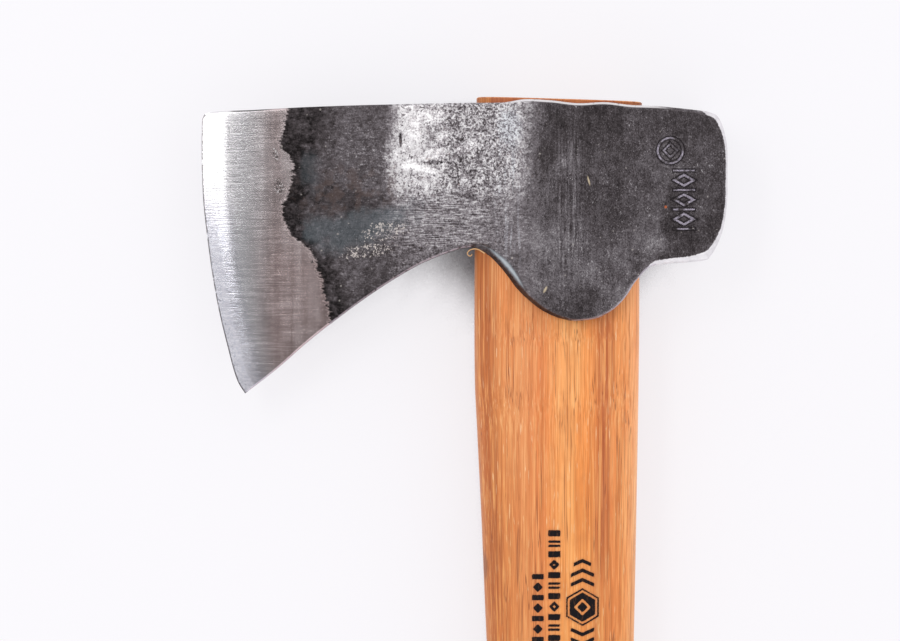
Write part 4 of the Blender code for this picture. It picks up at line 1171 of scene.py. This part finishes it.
    # oil darkens the end grain and the eye
    geo = g.node("ShaderNodeNewGeometry")
    nxyz = g.node("ShaderNodeSeparateXYZ")
    g.link(geo.outputs["Normal"], nxyz.inputs[0])
    end = g.step(g.math("ABSOLUTE", nxyz.outputs[1]), 0.6, 0.9)
    end_rings = g.step(g.math("SINE", g.mul(ring_x, 3.1)), -0.2, 0.95)
    end_col = g.blend(end_rings, srgb(208, 148, 96), srgb(160, 96, 54))
    end_col = g.blend(g.mul(g.step(g.noise(2.6, 2, 0.5, offset=18.0), 0.60, 0.68), 0.6), end_col, srgb(104, 60, 36))
    base = g.blend(g.mul(end, 0.85), base, end_col)
    top = g.step(g.y, -1.5, 0.2)
    reddish = g.mul(g.mul(top, g.sub(1.0, end)), g.step(g.x, -17.7, -17.2))
    base = g.blend(g.mul(reddish, 0.72), base, srgb(176, 88, 50))
    # the burned mark
    burn = g.attr("burn")
    ragged = g.mul(g.sub(g.noise(2.2, 3, 0.6, offset=9.0), 0.5), 0.30)
    inked = g.step(g.add(burn, ragged), 0.10, -0.08)
    thin = g.step(g.noise(1.0, 3, 0.6, vec=g.stretch(2.0, 0.5, 2.0), offset=10.0), 0.66, 0.52)
    inked = g.mul(inked, g.mix(thin, 0.94, 1.0))
    halo = g.step(burn, 0.7, 0.0)
    base = g.blend(g.mul(halo, 0.28), base, srgb(168, 96, 56))
    base = g.blend(inked, base, srgb(24, 21, 24))
    g.link(base, g.bsdf.inputs["Base Color"])
    g.link(g.mix(inked, 0.5, 0.12), g.bsdf.inputs["Specular IOR Level"])
    rough = g.mix(fibre, 0.40, 0.54)
    rough = g.mix(inked, rough, 0.65)
    rough = g.mix(end, rough, 0.72)
    g.link(rough, g.bsdf.inputs["Roughness"])
    g.bsdf.inputs["Metallic"].default_value = 0.0
    g.bsdf.inputs["IOR"].default_value = 1.45
    h = g.sub(g.add(g.mul(fibre, 0.5), 1.0), g.add(g.mul(pore, 0.8), g.mul(inked, 0.9)))
    g.link(g.bump(h, 0.00005, 1.0), g.bsdf.inputs["Normal"])
    return g.mat


def wedge_material(name="wedge_wood", lift=1.0):
    g = Graph(name)
    rings = g.noise(1.0, 3, 0.6, vec=g.stretch(0.9, 0.05, 2.2), offset=1.0)
    fine = g.noise(1.0, 4, 0.65, vec=g.stretch(3.0, 0.1, 5.0), offset=2.0)
    col = g.blend(rings, srgb(196 * lift, 148 * lift, 96 * lift), srgb(226 * lift, 186 * lift, 134 * lift))
    col = g.blend(g.mul(g.step(fine, 0.5, 0.7), 0.5), col, srgb(150, 102, 60))
    g.link(col, g.bsdf.inputs["Base Color"])
    g.link(g.mix(fine, 0.5, 0.75), g.bsdf.inputs["Roughness"])
    g.link(g.bump(fine, 0.00008, 1.0), g.bsdf.inputs["Normal"])
    return g.mat


def staple_material():
    g = Graph("staple_steel")
    n = g.noise(0.9, 4, 0.6, offset=1.0)
    fine = g.noise(3.0, 3, 0.6, offset=2.0)
    col = g.blend(g.step(n, 0.4, 0.65), (0.30, 0.29, 0.29), (0.52, 0.51, 0.51))
    col = g.blend(g.mul(g.step(fine, 0.58, 0.7), 0.6), col, (0.16, 0.10, 0.07))
    g.link(col, g.bsdf.inputs["Base Color"])
    g.link(g.mix(fine, 0.28, 0.55), g.bsdf.inputs["Roughness"])
    g.bsdf.inputs["Metallic"].default_value = 1.0
    g.link(g.bump(n, 0.00008, 1.0), g.bsdf.inputs["Normal"])
    return g.mat


# ------------------------------------------------------------------ the pieces
head = build_head()
head_masks(head)
shade(head, 38)
head.data.materials.clear()
head.data.materials.append(steel_material())
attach(head, "root")
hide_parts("head")

hickory = wood_material()
handle = build_handle()
shade(handle, 35)
handle.data.materials.clear()
handle.data.materials.append(hickory)
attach(handle, "root")
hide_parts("handle")

fibre = build_fibre()
shade(fibre, 60)
fibre.data.materials.append(wedge_material("pared_fibre", 1.02))
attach(fibre, "root")

for node, material in (("wedge", wedge_material()), ("staple", staple_material())):
    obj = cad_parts[node]
    for s in obj.material_slots:
        s.material = material

# ------------------------------------------------------------------ stage, light, camera
def plain_floor():
    mesh = bpy.data.meshes.new("table_top")
    s = 6.0
    mesh.from_pydata([(-s, -s, 0), (s, -s, 0), (s, s, 0), (-s, s, 0)], [], [(0, 1, 2, 3)])
    obj = bpy.data.objects.new("table_top", mesh)
    SCENE.collection.objects.link(obj)
    mat = bpy.data.materials.new("table_top_white")
    mat.use_nodes = True
    tree = mat.node_tree
    tree.nodes.clear()
    out = tree.nodes.new("ShaderNodeOutputMaterial")
    both = tree.nodes.new("ShaderNodeAddShader")
    paint = tree.nodes.new("ShaderNodeBsdfDiffuse")
    paint.inputs["Color"].default_value = (0.215, 0.212, 0.220, 1)
    glow = tree.nodes.new("ShaderNodeEmission")
    # the table top glows as painted light: bright all over, with painted shade from an occlusion curve only where
    # things stand very close over it
    near = tree.nodes.new("ShaderNodeAmbientOcclusion")
    near.samples = 8
    near.inputs["Distance"].default_value = 0.024
    curve = tree.nodes.new("ShaderNodeValToRGB")
    stops = ((0.10, 0.02), (0.31, 0.08), (0.38, 0.45), (0.43, 0.90), (0.49, 0.985), (0.70, 1.01))
    e = curve.color_ramp.elements
    while len(e) < len(stops):
        e.new(0.5)
    for item, (pos, v) in zip(e, stops):
        item.position = pos
        item.color = (v, v * (0.985 + 0.015 * v), v * (1.03 - 0.03 * v), 1)
    tint = tree.nodes.new("ShaderNodeMix")
    tint.data_type, tint.blend_type = "RGBA", "MULTIPLY"
    tint.inputs[0].default_value = 1.0
    tint.inputs[7].default_value = (0.985, 0.972, 1.0, 1)
    # painted light placed by position: on the side towards the light, behind the handle, the painted shade hardly dims
    where = tree.nodes.new("ShaderNodeNewGeometry")
    split = tree.nodes.new("ShaderNodeSeparateXYZ")
    painted_light_side = tree.nodes.new("ShaderNodeMapRange")
    painted_light_side.interpolation_type = "SMOOTHSTEP"
    for k, v in enumerate(((ORIGIN[0] + 4) / 1000, (ORIGIN[0] + 20) / 1000, 0.0, 0.09)):
        painted_light_side.inputs[k + 1].default_value = v
    # painted shadow placed by position in the pocket between the beard and the handle, where hardly any light gets in
    painted_pocket_shadow = tree.nodes.new("ShaderNodeVectorMath")
    painted_pocket_shadow.operation = "DISTANCE"
    painted_pocket_shadow.inputs[1].default_value = ((ORIGIN[0] - 24) / 1000, (ORIGIN[1] - 40) / 1000, 0.0)
    pocket_shadow_depth = tree.nodes.new("ShaderNodeMapRange")
    pocket_shadow_depth.interpolation_type = "SMOOTHSTEP"
    for k, v in enumerate((0.0, 0.017, -0.075, 0.0)):
        pocket_shadow_depth.inputs[k + 1].default_value = v
    shaded = tree.nodes.new("ShaderNodeMath")
    total = tree.nodes.new("ShaderNodeMath")
    tree.links.new(where.outputs["Position"], split.inputs[0])
    tree.links.new(split.outputs[0], painted_light_side.inputs[0])
    tree.links.new(where.outputs["Position"], painted_pocket_shadow.inputs[0])
    tree.links.new(painted_pocket_shadow.outputs["Value"], pocket_shadow_depth.inputs[0])
    tree.links.new(near.outputs["AO"], shaded.inputs[0])
    tree.links.new(pocket_shadow_depth.outputs[0], shaded.inputs[1])
    tree.links.new(shaded.outputs[0], total.inputs[0])
    tree.links.new(painted_light_side.outputs[0], total.inputs[1])
    tree.links.new(total.outputs[0], curve.inputs[0])
    tree.links.new(curve.outputs[0], tint.inputs[6])
    tree.links.new(tint.outputs[2], glow.inputs[0])
    glow.inputs[1].default_value = 0.75
    tree.links.new(paint.outputs[0], both.inputs[0])
    tree.links.new(glow.outputs[0], both.inputs[1])
    tree.links.new(both.outputs[0], out.inputs[0])
    mesh.materials.append(mat)
    return obj


floor = plain_floor()

world = bpy.data.worlds.new("soft_studio")
SCENE.world = world
world.use_nodes = True
wt = world.node_tree
wt.nodes.clear()
w_out = wt.nodes.new("ShaderNodeOutputWorld")
w_light = wt.nodes.new("ShaderNodeBackground")
w_light.inputs[1].default_value = 1.0
w_dir = wt.nodes.new("ShaderNodeTexCoord")
w_xyz = wt.nodes.new("ShaderNodeSeparateXYZ")
w_ramp = wt.nodes.new("ShaderNodeMapRange")
w_ramp.interpolation_type = "SMOOTHSTEP"
for k, v in enumerate((0.985, 0.72, 0.27, 1.17)):
    w_ramp.inputs[k + 1].default_value = v
w_tint = wt.nodes.new("ShaderNodeMix")
w_tint.data_type, w_tint.blend_type = "RGBA", "MULTIPLY"
w_tint.inputs[0].default_value = 1.0
w_tint.inputs[6].default_value = (0.985, 0.98, 1.0, 1)
wt.links.new(w_dir.outputs["Generated"], w_xyz.inputs[0])
wt.links.new(w_xyz.outputs["Z"], w_ramp.inputs[0])
wt.links.new(w_ramp.outputs[0], w_tint.inputs[7])
wt.links.new(w_tint.outputs[2], w_light.inputs[0])
w_seen = wt.nodes.new("ShaderNodeBackground")
w_seen.inputs[0].default_value = (0.925, 0.91, 0.95, 1)
w_seen.inputs[1].default_value = 1.0
w_mix = wt.nodes.new("ShaderNodeMixShader")
w_path = wt.nodes.new("ShaderNodeLightPath")
wt.links.new(w_path.outputs["Is Camera Ray"], w_mix.inputs[0])
wt.links.new(w_light.outputs[0], w_mix.inputs[1])
wt.links.new(w_seen.outputs[0], w_mix.inputs[2])
wt.links.new(w_mix.outputs[0], w_out.inputs[0])


def softbox(name, aim, direction, distance, size, radiance, colour=(1, 1, 1)):
    light = bpy.data.lights.new(name, "AREA")
    light.shape = "RECTANGLE"
    light.size, light.size_y = size
    light.energy = radiance * math.pi * size[0] * size[1]
    light.color = colour
    obj = bpy.data.objects.new(name, light)
    SCENE.collection.objects.link(obj)
    d = Vector(direction).normalized()
    obj.location = aim + d * distance
    z = d
    y = Vector((0, 1, 0))
    y = (y - z * y.dot(z)).normalized()
    x = y.cross(z)
    obj.matrix_world = Matrix((
        (x.x, y.x, z.x, obj.location.x), (x.y, y.y, z.y, obj.location.y), (x.z, y.z, z.z, obj.location.z), (0, 0, 0, 1),
    ))
    return obj


aim = Vector(((-30 + ORIGIN[0]) / 1000, (-40 + ORIGIN[1]) / 1000, 0.02))
angle = math.radians(26)
softbox("key_softbox", aim, (-math.sin(angle), 0.325, math.cos(angle)), 2.2, (0.46, 1.25), 4.4)

lens, width_px, px_per_mm = 200.0, 900, 3.8
camera = bpy.data.cameras.new("camera")
camera.lens, camera.sensor_width, camera.sensor_fit = lens, 36.0, "HORIZONTAL"
camera.clip_start, camera.clip_end = 0.05, 50
cam = bpy.data.objects.new("camera", camera)
SCENE.collection.objects.link(cam)
distance = width_px / px_per_mm * lens / 36.0 / 1000
cam.location = (
    ((450 - 557) / px_per_mm + ORIGIN[0]) / 1000,
    ((104 - 320.5) / px_per_mm + ORIGIN[1]) / 1000,
    0.021 + distance,
)
cam.rotation_euler = (0, 0, 0)
SCENE.camera = cam
SCENE.view_settings.view_transform = "Standard"
SCENE.view_settings.look = "None"
